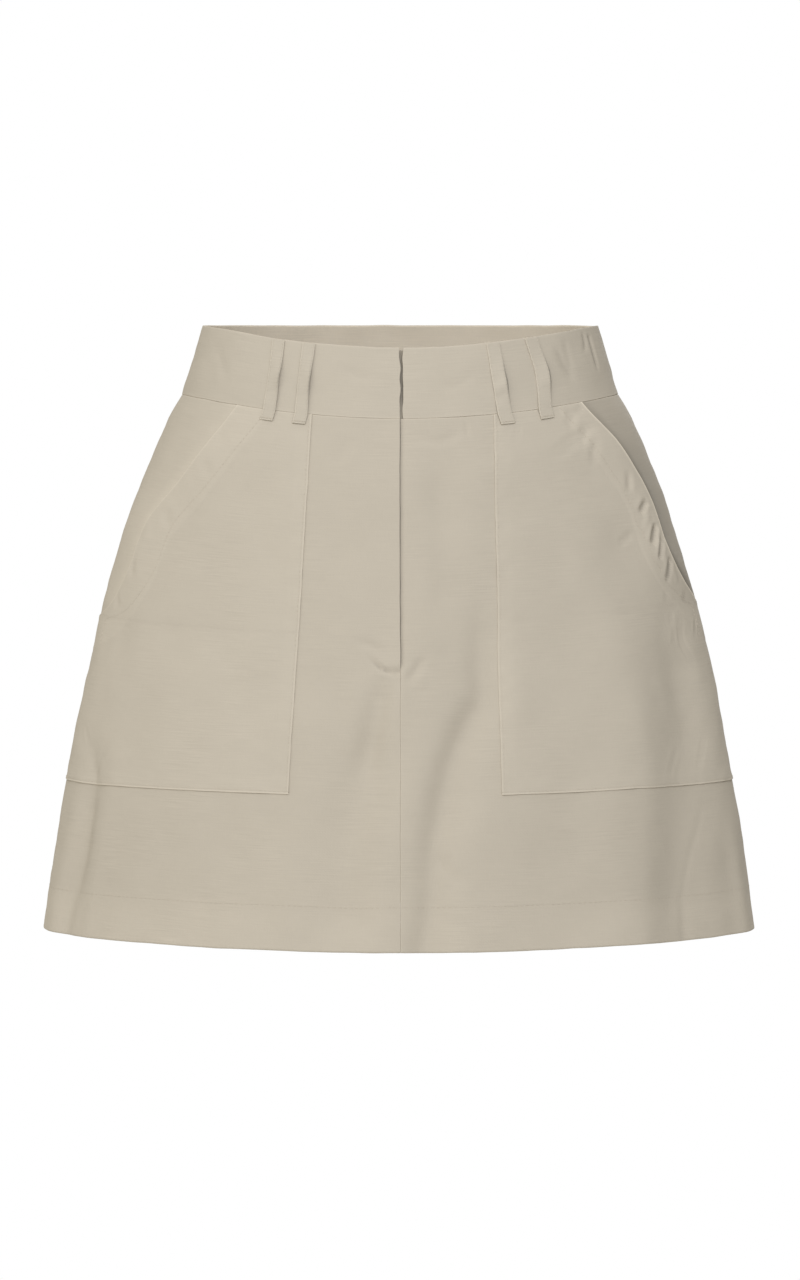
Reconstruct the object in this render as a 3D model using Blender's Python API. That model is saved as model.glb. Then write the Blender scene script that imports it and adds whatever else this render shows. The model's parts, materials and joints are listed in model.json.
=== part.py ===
"""An A-line skort: a short skirt with plain shorts inside it, filled out as if worn.

Metres, +Z up.  The front faces -Y and the wearer's left is at +X.  The origin is in the middle of
the waist, level with the side ends of the seam that joins the waistband to the skirt.

A place on the cloth is an angle and a drop.  The angle goes round the waist: 0 is the centre front,
a quarter turn is the left side seam and half a turn is the centre back.  The drop is the distance
down from the waist seam at the sides, so it is negative on the waistband.
"""

import math
from bisect import bisect_right
from collections import namedtuple

import bmesh
import bpy
import numpy as np
from mathutils import Vector

# Driving dimensions
BAND_HEIGHT = 0.0455
SKIRT_LENGTH = 0.3532
FRONT_DIP = 0.0144
DIP_POWER = 2.2
SEAM_GAP = 0.0003

# Walls of the doubled waistband and loops, and of the single cloth
BAND_WALL = 0.0016
SKIRT_WALL = 0.0012
POCKET_WALL = 0.0012
LOOP_WALL = 0.0014
SHORTS_WALL = 0.0010
UNDERLAP_WALL = 0.0010

# Angles of the seams that run up and down
CENTRE_FRONT = 0.0
LEFT_SIDE = math.pi / 2
RIGHT_SIDE = -math.pi / 2
RIGHT_SIDE_FROM_BEHIND = 3 * math.pi / 2

# Grid of the cloth
FRONT_COLUMNS = 22
BACK_COLUMNS = 44
SKIRT_ROWS = 17
BAND_ROWS = 3

# Half width and front and back depth of the outer face at each drop, and how far the section is
# drawn out from an ellipse towards a lens with tight sides
Section = namedtuple("Section", "drop half_width front_depth back_depth lens")
BAND_SECTIONS = (
    Section(-BAND_HEIGHT, 0.1300, 0.0880, 0.0860, 0.000),
    Section(0.0, 0.1436, 0.0970, 0.1000, 0.000),
)
SKIRT_SECTIONS = (
    Section(0.000, 0.1436, 0.0970, 0.1000, 0.000),
    Section(0.010, 0.1497, 0.0988, 0.1032, 0.005),
    Section(0.035, 0.1615, 0.1035, 0.1105, 0.018),
    Section(0.070, 0.1749, 0.1085, 0.1180, 0.035),
    Section(0.105, 0.1867, 0.1132, 0.1240, 0.048),
    Section(0.140, 0.1960, 0.1182, 0.1298, 0.056),
    Section(0.210, 0.2119, 0.1285, 0.1382, 0.062),
    Section(0.280, 0.2250, 0.1385, 0.1448, 0.065),
    Section(SKIRT_LENGTH, 0.2360, 0.1470, 0.1500, 0.066),
)

# Soft valleys that run down the skirt: the drops and angles in degrees that each passes through, its
# width across the cloth at half its depth, and its depth
Fold = namedtuple("Fold", "drops angles width depth")
FOLDS = (
    Fold((0.215, 0.250, SKIRT_LENGTH), (-64.8, -65.7, -67.2), 0.022, 0.0032),
    Fold((0.150, 0.190, 0.275, SKIRT_LENGTH), (-5.0, -5.4, -10.5, -12.0), 0.036, 0.0026),
    Fold((0.085, 0.160, 0.205, 0.235, 0.290, SKIRT_LENGTH), (18.5, 15.0, 12.4, 8.9, 5.4, 3.6),
         0.034, 0.0038),
    Fold((0.095, 0.150, 0.240, SKIRT_LENGTH), (53.0, 55.5, 56.5, 50.0), 0.036, 0.0030),
    Fold((0.190, SKIRT_LENGTH), (97.0, 96.0), 0.026, 0.0026),
    Fold((0.110, SKIRT_LENGTH), (128.0, 123.0), 0.036, 0.0034),
    Fold((0.170, 0.260, SKIRT_LENGTH), (158.0, 160.0, 164.0), 0.034, 0.0032),
    Fold((0.120, 0.240, SKIRT_LENGTH), (206.0, 203.0, 199.0), 0.036, 0.0034),
    Fold((0.180, SKIRT_LENGTH), (236.0, 241.0), 0.032, 0.0030),
)
# Share of a fold's length over which it deepens
FOLD_RISE = 0.45

# Patch pockets: where the inner edge starts and ends, the level of the bottom, and the opening edge
# from the waist seam down to the side seam
POCKET_BOTTOM = -0.2538
PocketCut = namedtuple("PocketCut", "name side inner_top inner_bottom opening")
Point = namedtuple("Point", "across height")
POCKETS = (
    PocketCut("pocket_left", 1, 0.0600, 0.0652, (
        Point(0.1174, -0.0030), Point(0.1460, -0.0380), Point(0.1600, -0.0580),
        Point(0.1708, -0.0820), Point(0.1820, -0.1100), Point(0.1980, -0.1380))),
    PocketCut("pocket_right", -1, 0.0565, 0.0712, (
        Point(0.1069, -0.0060), Point(0.1308, -0.0354), Point(0.1532, -0.0650),
        Point(0.1690, -0.0860), Point(0.1815, -0.1100), Point(0.1980, -0.1380))),
)

# Belt loops: their angle in degrees, their width, how far they reach below the waist seam and the
# drops between which they rise over the pocket's edge
LOOP_WIDTH = 0.0090
LOOP_DROP = 0.0070
LOOP_ANGLES = {
    "belt_loop_1": -36.8,
    "belt_loop_2": -26.2,
    "belt_loop_3": 27.7,
    "belt_loop_4": 40.6,
    "belt_loop_5": 173.2,
    "belt_loop_6": 186.8,
}
LOOP_COLUMNS = 2
LOOP_ROWS = 8
LOOP_STAND_OFF = 0.0004
LOOP_RISE = (-0.012, -0.002)

# Strip of cloth behind the fly: how far it reaches to either side of the centre, and its drops
UNDERLAP_RIGHT_REACH = 0.022
UNDERLAP_LEFT_REACH = 0.014
UNDERLAP_TOP = -0.0445
UNDERLAP_BOTTOM = 0.1760
UNDERLAP_COLUMNS = 4
UNDERLAP_ROWS = 14

# Each half of the shorts is an ellipse round its leg, cut off at the middle plane: how far the
# ellipse's centre lies from the middle, its half width and its front and back depth
LegSection = namedtuple("LegSection", "drop centre half_width front_depth back_depth")
SHORTS_TOP = 0.002
SHORTS_LENGTH = 0.318
SHORTS_SECTIONS = (
    LegSection(0.000, 0.0000, 0.1425, 0.0938, 0.0989),
    LegSection(0.060, 0.0000, 0.1600, 0.0960, 0.1040),
    LegSection(0.120, 0.0180, 0.1520, 0.0930, 0.1030),
    LegSection(0.170, 0.0560, 0.1240, 0.0880, 0.0960),
    LegSection(0.205, 0.0880, 0.1000, 0.0840, 0.0900),
    LegSection(0.225, 0.0990, 0.0930, 0.0825, 0.0875),
    LegSection(SHORTS_LENGTH, 0.1060, 0.0950, 0.0800, 0.0830),
)
# Drop at which the shorts' waist no longer follows the dip at the front
SHORTS_DIP_REACH = 0.150
SHORTS_COLUMNS = 12
SHORTS_ROWS = 14

# Edges sharper than this are shaded as edges
SHARP_ANGLE = math.radians(35)

# Steps for measuring a direction on a surface
ANGLE_STEP = 0.002
DROP_STEP = 0.0005

FACING = "facing"
CLOTH_COLOURS = {
    "skirt": (0.533, 0.479, 0.397, 1.0),
    "pocket": (0.550, 0.495, 0.411, 1.0),
    "waistband": (0.540, 0.486, 0.403, 1.0),
    "loop": (0.560, 0.505, 0.420, 1.0),
    "underlap": (0.480, 0.430, 0.355, 1.0),
    "shorts": (0.500, 0.450, 0.372, 1.0),
}
CLOTH_ROUGHNESS = 0.9


def smoothstep(start, end, value):
    """Soft rise from 0 at start to 1 at end."""
    share = max(0.0, min(1.0, (value - start) / (end - start)))
    return share * share * (3 - 2 * share)


def read_table(rows, drop):
    """Row of a table at a drop, on a smooth curve through the rows that it lies between."""
    drops = [row.drop for row in rows]
    low = max(0, min(bisect_right(drops, drop) - 1, len(rows) - 2))
    start, end = rows[low], rows[low + 1]
    before, after = rows[max(low - 1, 0)], rows[min(low + 2, len(rows) - 1)]
    span = end.drop - start.drop
    share = (drop - start.drop) / span
    values = []
    for column in range(1, len(start)):
        start_slope = (end[column] - before[column]) / (end.drop - before.drop)
        end_slope = (after[column] - start[column]) / (after.drop - start.drop)
        values.append(
            (1 + 2 * share) * (1 - share) ** 2 * start[column]
            + share * (1 - share) ** 2 * span * start_slope
            + share ** 2 * (3 - 2 * share) * end[column]
            + share ** 2 * (share - 1) * span * end_slope)
    return type(start)(drop, *values)


def front_dip(angle):
    """How far the waist lies lower towards the centre front."""
    return FRONT_DIP * max(0.0, math.cos(angle)) ** DIP_POWER


def outline_point(angle, drop):
    """Outer face of the waistband and skirt, before their folds."""
    section = read_table(BAND_SECTIONS if drop < 0 else SKIRT_SECTIONS, drop)
    depth = section.front_depth if math.cos(angle) > 0 else section.back_depth
    across = section.half_width * math.sin(angle)
    along = (1 - section.lens) * math.cos(angle) + section.lens * math.cos(3 * angle)
    dip = front_dip(angle) * min(1.0, 1 - drop / SKIRT_LENGTH)
    return Vector((across, -depth * along, -drop - dip))


def outward(surface, angle, drop):
    """Unit vector that points out of a surface of angle and drop."""
    along = surface(angle + ANGLE_STEP, drop) - surface(angle - ANGLE_STEP, drop)
    down = surface(angle, drop + DROP_STEP) - surface(angle, drop - DROP_STEP)
    return down.cross(along).normalized()


def girth_rate(angle, drop):
    """Metres along the cloth for each radian."""
    along = outline_point(angle + ANGLE_STEP, drop) - outline_point(angle - ANGLE_STEP, drop)
    return along.length / (2 * ANGLE_STEP)


def turn_between(angle, other):
    """Signed angle from one direction to another, the short way round."""
    return math.remainder(angle - other, 2 * math.pi)


def fold_depth(angle, drop):
    """How far the folds take the cloth inwards."""
    depth = 0.0
    for fold in FOLDS:
        start = fold.drops[0]
        if drop <= start:
            continue
        middle = math.radians(np.interp(drop, fold.drops, fold.angles))
        away = abs(turn_between(angle, middle)) * girth_rate(angle, drop) / fold.width
        if away < 1:
            swell = smoothstep(start, start + FOLD_RISE * (fold.drops[-1] - start), drop)
            depth += fold.depth * swell * (1 + math.cos(math.pi * away)) / 2
    return depth


def cloth_point(angle, drop):
    """Outer face of the waistband and skirt."""
    point = outline_point(angle, drop)
    depth = fold_depth(angle, drop)
    if depth:
        point -= outward(outline_point, angle, drop) * depth
    return point


def angle_between_seams(start, end, share, drop):
    """Angle at a share of the way between two seams, half a seam gap clear of each."""
    first = start + SEAM_GAP / 2 / girth_rate(start, drop)
    last = end - SEAM_GAP / 2 / girth_rate(end, drop)
    return first + (last - first) * share


def cloth_grid(place, columns, rows):
    """Open grid of cloth, put in place by a function of the shares across and down it."""
    sheet = bmesh.new()
    bmesh.ops.create_grid(sheet, x_segments=columns, y_segments=rows, size=0.5)
    facing = sheet.verts.layers.float_vector.new(FACING)
    for vertex in sheet.verts:
        across = 0.5 + vertex.co.x
        down = 0.5 - vertex.co.y
        vertex.co, vertex[facing] = place(across, down)
    return sheet


def thicken(sheet, wall):
    """Gives an open sheet its wall, on the inner side."""
    facing = sheet.verts.layers.float_vector[FACING]
    inner = bmesh.ops.extrude_face_region(sheet, geom=sheet.faces[:], use_keep_orig=True)
    for item in inner["geom"]:
        if isinstance(item, bmesh.types.BMVert):
            item.co -= item[facing] * wall
    bmesh.ops.recalc_face_normals(sheet, faces=sheet.faces)


def cloth_material(name, kind):
    """Plain matt cloth in one colour."""
    material = bpy.data.materials.new(name + "_cloth")
    material.use_nodes = True
    shader = material.node_tree.nodes["Principled BSDF"]
    shader.inputs["Base Color"].default_value = CLOTH_COLOURS[kind]
    shader.inputs["Roughness"].default_value = CLOTH_ROUGHNESS
    shader.inputs["Metallic"].default_value = 0.0
    return material


def add_piece(garment, name, kind, sheet):
    """Makes an object of a finished sheet and frees it."""
    mesh = bpy.data.meshes.new(name)
    sheet.to_mesh(mesh)
    sheet.free()
    mesh.shade_smooth()
    mesh.set_sharp_from_angle(angle=SHARP_ANGLE)
    mesh.materials.append(cloth_material(name, kind))
    piece = bpy.data.objects.new(name, mesh)
    garment.users_collection[0].objects.link(piece)
    piece.parent = garment


def panel_grid(start, end, top, bottom, columns, rows):
    """Grid of a waistband or skirt panel between two seams and two drops."""
    def place(across, down):
        drop = top + (bottom - top) * down
        angle = angle_between_seams(start, end, across, drop)
        return cloth_point(angle, drop), outward(cloth_point, angle, drop)

    return cloth_grid(place, columns, rows)


def skirt_grid(start, end, columns):
    """Grid of a skirt panel, from the waist seam to the hem."""
    return panel_grid(start, end, SEAM_GAP / 2, SKIRT_LENGTH, columns, SKIRT_ROWS)


def add_skirt(garment):
    """Two fronts and a back."""
    panels = (
        ("front_right", RIGHT_SIDE, CENTRE_FRONT, FRONT_COLUMNS),
        ("front_left", CENTRE_FRONT, LEFT_SIDE, FRONT_COLUMNS),
        ("back", LEFT_SIDE, RIGHT_SIDE_FROM_BEHIND, BACK_COLUMNS),
    )
    for name, start, end, columns in panels:
        sheet = skirt_grid(start, end, columns)
        thicken(sheet, SKIRT_WALL)
        add_piece(garment, name, "skirt", sheet)


def add_waistband(garment):
    """Two fronts and a back of the waistband."""
    panels = (
        ("waistband_front_right", RIGHT_SIDE, CENTRE_FRONT, FRONT_COLUMNS),
        ("waistband_front_left", CENTRE_FRONT, LEFT_SIDE, FRONT_COLUMNS),
        ("waistband_back", LEFT_SIDE, RIGHT_SIDE_FROM_BEHIND, BACK_COLUMNS),
    )
    for name, start, end, columns in panels:
        sheet = panel_grid(start, end, -BAND_HEIGHT, -SEAM_GAP / 2, columns, BAND_ROWS)
        thicken(sheet, BAND_WALL)
        add_piece(garment, name, "waistband", sheet)


def split(sheet, point, direction, faces, remove=False):
    """Cuts some faces of a sheet by a plane, and may remove the side that the direction points to."""
    parts = set(faces)
    for face in faces:
        parts.update(face.edges)
        parts.update(face.verts)
    bmesh.ops.bisect_plane(
        sheet, geom=list(parts), plane_co=point, plane_no=direction, clear_outer=remove)


def split_along(sheet, side, start, end, faces, remove=False):
    """Cuts by the plane through two points seen from the front.  Its outer side is on their left."""
    across = end.across - start.across
    height = end.height - start.height
    split(sheet, (side * start.across, 0, start.height), (side * -height, 0, across), faces, remove)


def lies_between(face, low, high):
    """Whether some of a face lies between two heights."""
    heights = [vertex.co.z for vertex in face.verts]
    return min(heights) < high and max(heights) > low


def cut_opening(sheet, side, opening):
    """Cuts off the cloth beyond a pocket's opening edge."""
    for upper, lower in zip(opening, opening[1:]):
        level = [face for face in sheet.faces if lies_between(face, lower.height, upper.height)]
        split_along(sheet, side, upper, lower, level)
    rising = sorted(opening, key=lambda point: point.height)
    heights = [point.height for point in rising]
    edge = [point.across for point in rising]
    beyond = []
    for face in sheet.faces:
        centre = face.calc_center_median()
        if centre.z > heights[0] and side * centre.x > np.interp(centre.z, heights, edge):
            beyond.append(face)
    bmesh.ops.delete(sheet, geom=beyond, context="FACES")


def add_pockets(garment):
    """Patch pockets, cut from a copy of the front that each lies on and moved out from it."""
    for pocket in POCKETS:
        side = pocket.side
        seams = (CENTRE_FRONT, LEFT_SIDE) if side > 0 else (RIGHT_SIDE, CENTRE_FRONT)
        sheet = skirt_grid(*seams, FRONT_COLUMNS)
        inner_top = Point(pocket.inner_top, -FRONT_DIP)
        inner_bottom = Point(pocket.inner_bottom, POCKET_BOTTOM)
        split(sheet, (0, 0, POCKET_BOTTOM), (0, 0, -1), sheet.faces[:], remove=True)
        split_along(sheet, side, inner_bottom, inner_top, sheet.faces[:], remove=True)
        cut_opening(sheet, side, pocket.opening)
        facing = sheet.verts.layers.float_vector[FACING]
        for vertex in sheet.verts:
            vertex.co += vertex[facing] * (SEAM_GAP + POCKET_WALL)
        thicken(sheet, POCKET_WALL)
        add_piece(garment, pocket.name, "pocket", sheet)


def loop_grid(middle):
    """Grid of a belt loop about an angle.  Its lower end lies on the pocket's upper edge."""
    def place(across, down):
        drop = -BAND_HEIGHT + (BAND_HEIGHT + LOOP_DROP) * down
        angle = middle + (across - 0.5) * LOOP_WIDTH / girth_rate(middle, drop)
        facing = outward(cloth_point, angle, drop)
        lift = (SEAM_GAP + POCKET_WALL) * smoothstep(*LOOP_RISE, drop)
        return cloth_point(angle, drop) + facing * (LOOP_STAND_OFF + lift + LOOP_WALL), facing

    return cloth_grid(place, LOOP_COLUMNS, LOOP_ROWS)


def add_belt_loops(garment):
    """Narrow strips that lie over the waistband."""
    for name, degrees in LOOP_ANGLES.items():
        sheet = loop_grid(math.radians(degrees))
        thicken(sheet, LOOP_WALL)
        add_piece(garment, name, "loop", sheet)


def underlap_grid():
    """Grid of the strip behind the fly, which lies against the waistband's inner side."""
    def place(across, down):
        drop = UNDERLAP_TOP + (UNDERLAP_BOTTOM - UNDERLAP_TOP) * down
        reach = -UNDERLAP_RIGHT_REACH + (UNDERLAP_RIGHT_REACH + UNDERLAP_LEFT_REACH) * across
        angle = reach / girth_rate(CENTRE_FRONT, drop)
        facing = outward(cloth_point, angle, drop)
        return cloth_point(angle, drop) - facing * (BAND_WALL + SEAM_GAP), facing

    return cloth_grid(place, UNDERLAP_COLUMNS, UNDERLAP_ROWS)


def add_fly_underlap(garment):
    """Strip of cloth behind the fly opening."""
    sheet = underlap_grid()
    thicken(sheet, UNDERLAP_WALL)
    add_piece(garment, "fly_underlap", "underlap", sheet)


def leg_point(side, half, turn, drop):
    """Outer face of the shorts.  The turn goes round the leg from its inner to its outer side."""
    section = read_table(SHORTS_SECTIONS, drop)
    depth = section.front_depth if half == "front" else -section.back_depth
    across = section.centre - section.half_width * math.cos(turn)
    dip = 0.0
    if half == "front":
        dip = front_dip(turn - math.pi / 2) * max(0.0, 1 - drop / SHORTS_DIP_REACH)
    return Vector((side * across, -depth * math.sin(turn), -drop - dip))


def first_turn(drop):
    """Turn at which the leg's ellipse leaves the middle plane, or its inner side below the crotch."""
    section = read_table(SHORTS_SECTIONS, drop)
    cosine = (section.centre - SEAM_GAP / 2) / section.half_width
    if cosine >= 1:
        return 0.0
    return math.acos(cosine)


def shorts_grid(side, half):
    """Grid of one panel of the shorts, between its inner and its outer seam."""
    def surface(turn, drop):
        return leg_point(side, half, turn, drop)

    def place(across, down):
        drop = SHORTS_TOP + (SHORTS_LENGTH - SHORTS_TOP) * down
        section = read_table(SHORTS_SECTIONS, drop)
        clearance = SEAM_GAP / 2 / section.front_depth
        start = max(first_turn(drop), clearance)
        turn = start + (math.pi - clearance - start) * across
        point = surface(turn, drop)
        facing = outward(surface, turn, drop)
        if facing.dot(point - Vector((side * section.centre, 0, point.z))) < 0:
            facing = -facing
        return point, facing

    return cloth_grid(place, SHORTS_COLUMNS, SHORTS_ROWS)


def add_shorts(garment):
    """Four plain panels that meet at the centre seams, the side seams and the inseams."""
    for side_name, side in (("left", 1), ("right", -1)):
        for half in ("front", "back"):
            sheet = shorts_grid(side, half)
            thicken(sheet, SHORTS_WALL)
            add_piece(garment, f"shorts_{half}_{side_name}", "shorts", sheet)


def clear_scene():
    """Removes every object of the scene."""
    for item in list(bpy.data.objects):
        bpy.data.objects.remove(item, do_unlink=True)


def main():
    """Builds the whole garment."""
    clear_scene()
    collection = bpy.data.collections.new("a_line_skort")
    bpy.context.scene.collection.children.link(collection)
    garment = bpy.data.objects.new("garment", None)
    collection.objects.link(garment)
    add_skirt(garment)
    add_waistband(garment)
    add_pockets(garment)
    add_belt_loops(garment)
    add_fly_underlap(garment)
    add_shorts(garment)


main()
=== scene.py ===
"""Looks of an A-line skort: fine cloth shells with creases and stitching, the stage and the camera.

Metres, +Z up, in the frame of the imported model.  The front faces -Y and the wearer's left is at +X.
A place on the cloth is an angle and a drop, as in the model.  The angle goes round the waist from
the centre front, with a quarter turn at the left side seam and half a turn at the centre back.  The
drop is the distance down from the waist seam, so it is negative on the waistband.

Every cloth piece is a grid whose rows go down and whose columns go round.  Its lift is how far the
middle of the cloth lies outside the plain form, and a shell with a rounded rim is built about it.
"""

import json
import math
from collections import namedtuple

import bpy
import numpy as np
from bpy.props import FloatProperty, FloatVectorProperty, PointerProperty
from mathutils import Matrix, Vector


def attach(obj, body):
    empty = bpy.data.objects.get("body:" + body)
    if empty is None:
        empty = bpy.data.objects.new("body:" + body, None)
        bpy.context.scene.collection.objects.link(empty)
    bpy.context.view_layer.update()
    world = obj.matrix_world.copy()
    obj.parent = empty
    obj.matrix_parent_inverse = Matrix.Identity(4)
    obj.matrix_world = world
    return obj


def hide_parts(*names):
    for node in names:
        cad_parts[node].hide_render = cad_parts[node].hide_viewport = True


bl_info = {
    "name": "A-line skort looks",
    "version": (1, 0, 0),
    "blender": (4, 5, 0),
    "location": "3D View > Sidebar > Skort",
    "description": "Builds the fine cloth, sewing and stage of an A-line skort",
    "category": "Object",
}

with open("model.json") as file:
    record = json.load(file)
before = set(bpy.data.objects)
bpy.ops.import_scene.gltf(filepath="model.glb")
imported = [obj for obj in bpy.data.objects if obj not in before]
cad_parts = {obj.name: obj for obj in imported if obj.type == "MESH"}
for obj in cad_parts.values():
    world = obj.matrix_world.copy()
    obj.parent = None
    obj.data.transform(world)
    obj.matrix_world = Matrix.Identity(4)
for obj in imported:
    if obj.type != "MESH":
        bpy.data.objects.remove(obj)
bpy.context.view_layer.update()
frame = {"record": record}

# Driving sizes of the model
BAND_HEIGHT = 0.0455
SKIRT_LENGTH = 0.3532
FRONT_DIP = 0.0144
DIP_POWER = 2.2

# Walls of the fine cloth, and the gap left between pieces at a seam
SKIRT_WALL = 0.0009
POCKET_WALL = 0.0006
BAND_WALL = 0.0016
LOOP_WALL = 0.0007
UNDERLAP_WALL = 0.0009
SHORTS_WALL = 0.0008
SEAM_GAP = 0.00003
# How far the round rim of a piece reaches past its outermost grid line
RIM = 0.00012
# How far that grid line stays from a seam
SEAM_CLEAR = SEAM_GAP / 2 + RIM

QUARTER_TURN = math.pi / 2
BACK_MIDDLE = math.pi

# Half width and front and back depth of the outer face at each drop, and how far the section is
# drawn out from an ellipse towards a lens with tight sides
Section = namedtuple("Section", "drop half_width front_depth back_depth lens")
BAND_SECTIONS = (
    Section(-BAND_HEIGHT, 0.1300, 0.0880, 0.0860, 0.000),
    Section(0.0, 0.1436, 0.0970, 0.1000, 0.000),
)
SKIRT_SECTIONS = (
    Section(0.000, 0.1436, 0.0970, 0.1000, 0.000),
    Section(0.010, 0.1497, 0.0988, 0.1032, 0.005),
    Section(0.035, 0.1615, 0.1035, 0.1105, 0.018),
    Section(0.070, 0.1749, 0.1085, 0.1180, 0.035),
    Section(0.105, 0.1867, 0.1132, 0.1240, 0.048),
    Section(0.140, 0.1960, 0.1182, 0.1298, 0.056),
    Section(0.210, 0.2119, 0.1285, 0.1382, 0.062),
    Section(0.280, 0.2250, 0.1385, 0.1448, 0.065),
    Section(SKIRT_LENGTH, 0.2360, 0.1470, 0.1500, 0.066),
)

# Soft valleys that run down the skirt: the drops and angles in degrees that each passes through, its
# width across the cloth at half its depth, and its depth
Fold = namedtuple("Fold", "drops angles width depth")
FOLDS = (
    Fold((0.215, 0.250, SKIRT_LENGTH), (-64.8, -65.7, -67.2), 0.022, 0.0032),
    Fold((0.150, 0.190, 0.275, SKIRT_LENGTH), (-5.0, -5.4, -10.5, -12.0), 0.036, 0.0026),
    Fold((0.085, 0.160, 0.205, 0.235, 0.290, SKIRT_LENGTH), (18.5, 15.0, 12.4, 8.9, 5.4, 3.6),
         0.034, 0.0038),
    Fold((0.095, 0.150, 0.240, SKIRT_LENGTH), (53.0, 55.5, 56.5, 50.0), 0.036, 0.0030),
    Fold((0.190, SKIRT_LENGTH), (97.0, 96.0), 0.026, 0.0026),
    Fold((0.110, SKIRT_LENGTH), (128.0, 123.0), 0.036, 0.0034),
    Fold((0.170, 0.260, SKIRT_LENGTH), (158.0, 160.0, 164.0), 0.034, 0.0032),
    Fold((0.120, 0.240, SKIRT_LENGTH), (206.0, 203.0, 199.0), 0.036, 0.0034),
    Fold((0.180, SKIRT_LENGTH), (236.0, 241.0), 0.032, 0.0030),
)
FOLD_RISE = 0.45

# Creases, in millimetres: how far each reaches to the viewer's left and right, its depth (negative
# for a ridge), the shares of its length over which it deepens at its start and fades at its end, and
# the places that it passes through, as across and height seen from the front
PER_METRE = 1000
# Creases are worked out as far away as so many times their wider side
CREASE_REACH = 3
FRONT_CREASES = (
    # The sharp fold at the picture's left, from the pocket down to the hem
    (12, 10.5, 2.9, 0.5, 0, (-202.2, -222.1), (-201.8, -248.1), (-203.6, -259), (-206.8, -280.8),
     (-210, -298.2), (-214.8, -318), (-219.2, -332.4), (-223.2, -352.7)),
    (6.5, 6.5, 0.8, 0.7, 0.15, (-202, -225.6), (-201.5, -239), (-201.2, -254)),
    # The long fold right of the centre, and its branch
    (12, 15, 3.1, 0.35, 0, (57.5, -104.6), (52.4, -160.6), (53.6, -193.8), (45.4, -206.4), (33.7, -232.9),
     (26.9, -259.8), (21.7, -290), (20.2, -322.1), (15.3, -351.7)),
    (6, 6, 0.6, 0.3, 0.3, (21.7, -290), (32, -302), (43.9, -314.4)),
    # Left of the centre
    (26, 24, 4.2, 0.4, 0.15, (-18, -189), (-18, -236.4), (-28, -275.5), (-32, -320.1), (-33, -353.2)),
    # The ridge at the edge of the shade on the picture's right, and the valley beside it
    (46, 37, -3.8, 0.3, 0, (135, -96), (142, -120), (149, -148), (152.5, -176), (153, -206), (153, -244),
     (152.5, -280), (152, -312.2), (152, -353.2)),
    (19, 23, 2.5, 0.35, 0.4, (169, -129), (177.2, -159.7), (185.6, -192.2), (189.7, -218.5),
     (185.1, -256.4)),
    # The thin pressed line and the notch beside it, near the hem
    (4, 2.6, 0.3, 0.3, 0.3, (201, -259.6), (197.5, -276.6), (191.2, -298.5), (186.8, -320.3),
     (185, -336.5)),
    (5, 8, 0.6, 0.5, 0, (185, -318.8), (185.8, -342.9), (186.2, -353.2)),
    # The picture's right edge near the hem
    (12, 14, -2, 0.5, 0, (215, -266.9), (220, -300.3), (224, -330.3), (227, -352.2)),
    # Below the end of the fly at the picture's left, and the hollow beside the fly
    (12, 10, 3.4, 0.25, 0.4, (-10, -176), (-16, -210), (-26, -250)),
    (13, 20, 1.5, 0.3, 0.3, (20, -25), (27, -70), (29, -120), (23, -160)),
    # Where the fly ends: the hooked pucker and the drag lines about it
    (1.3, 1.8, 2.7, 0.05, 0.6, (0, -175.1), (-4, -175.7), (-8, -175.1), (-12.3, -173.2), (-18, -168),
     (-22.6, -163.1)),
    (1.1, 1.1, 0.6, 0.3, 0.3, (-8, -180.9), (-3.5, -177.5), (0, -180.9)),
    (3, 4, 1.3, 0.5, 0.2, (17.4, -163.1), (8.8, -175.6), (3.6, -183.3)),
    (4, 4, -0.5, 0.5, 0.4, (18, -179), (11, -185)),
    (3.5, 4, 0.8, 0.4, 0.3, (-31, -156), (-20, -158.5), (-9, -164)),
    # Faint pulls under the waistband
    (4, 5, 0.8, 0.4, 0.4, (6, -23), (25, -29), (45, -20)),
    (2, 2, 0.6, 0.2, 0.6, (42, -17), (44, -29)),
    (6, 6, 0.5, 0.4, 0.5, (-30, -24), (-44, -50)),
)
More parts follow.
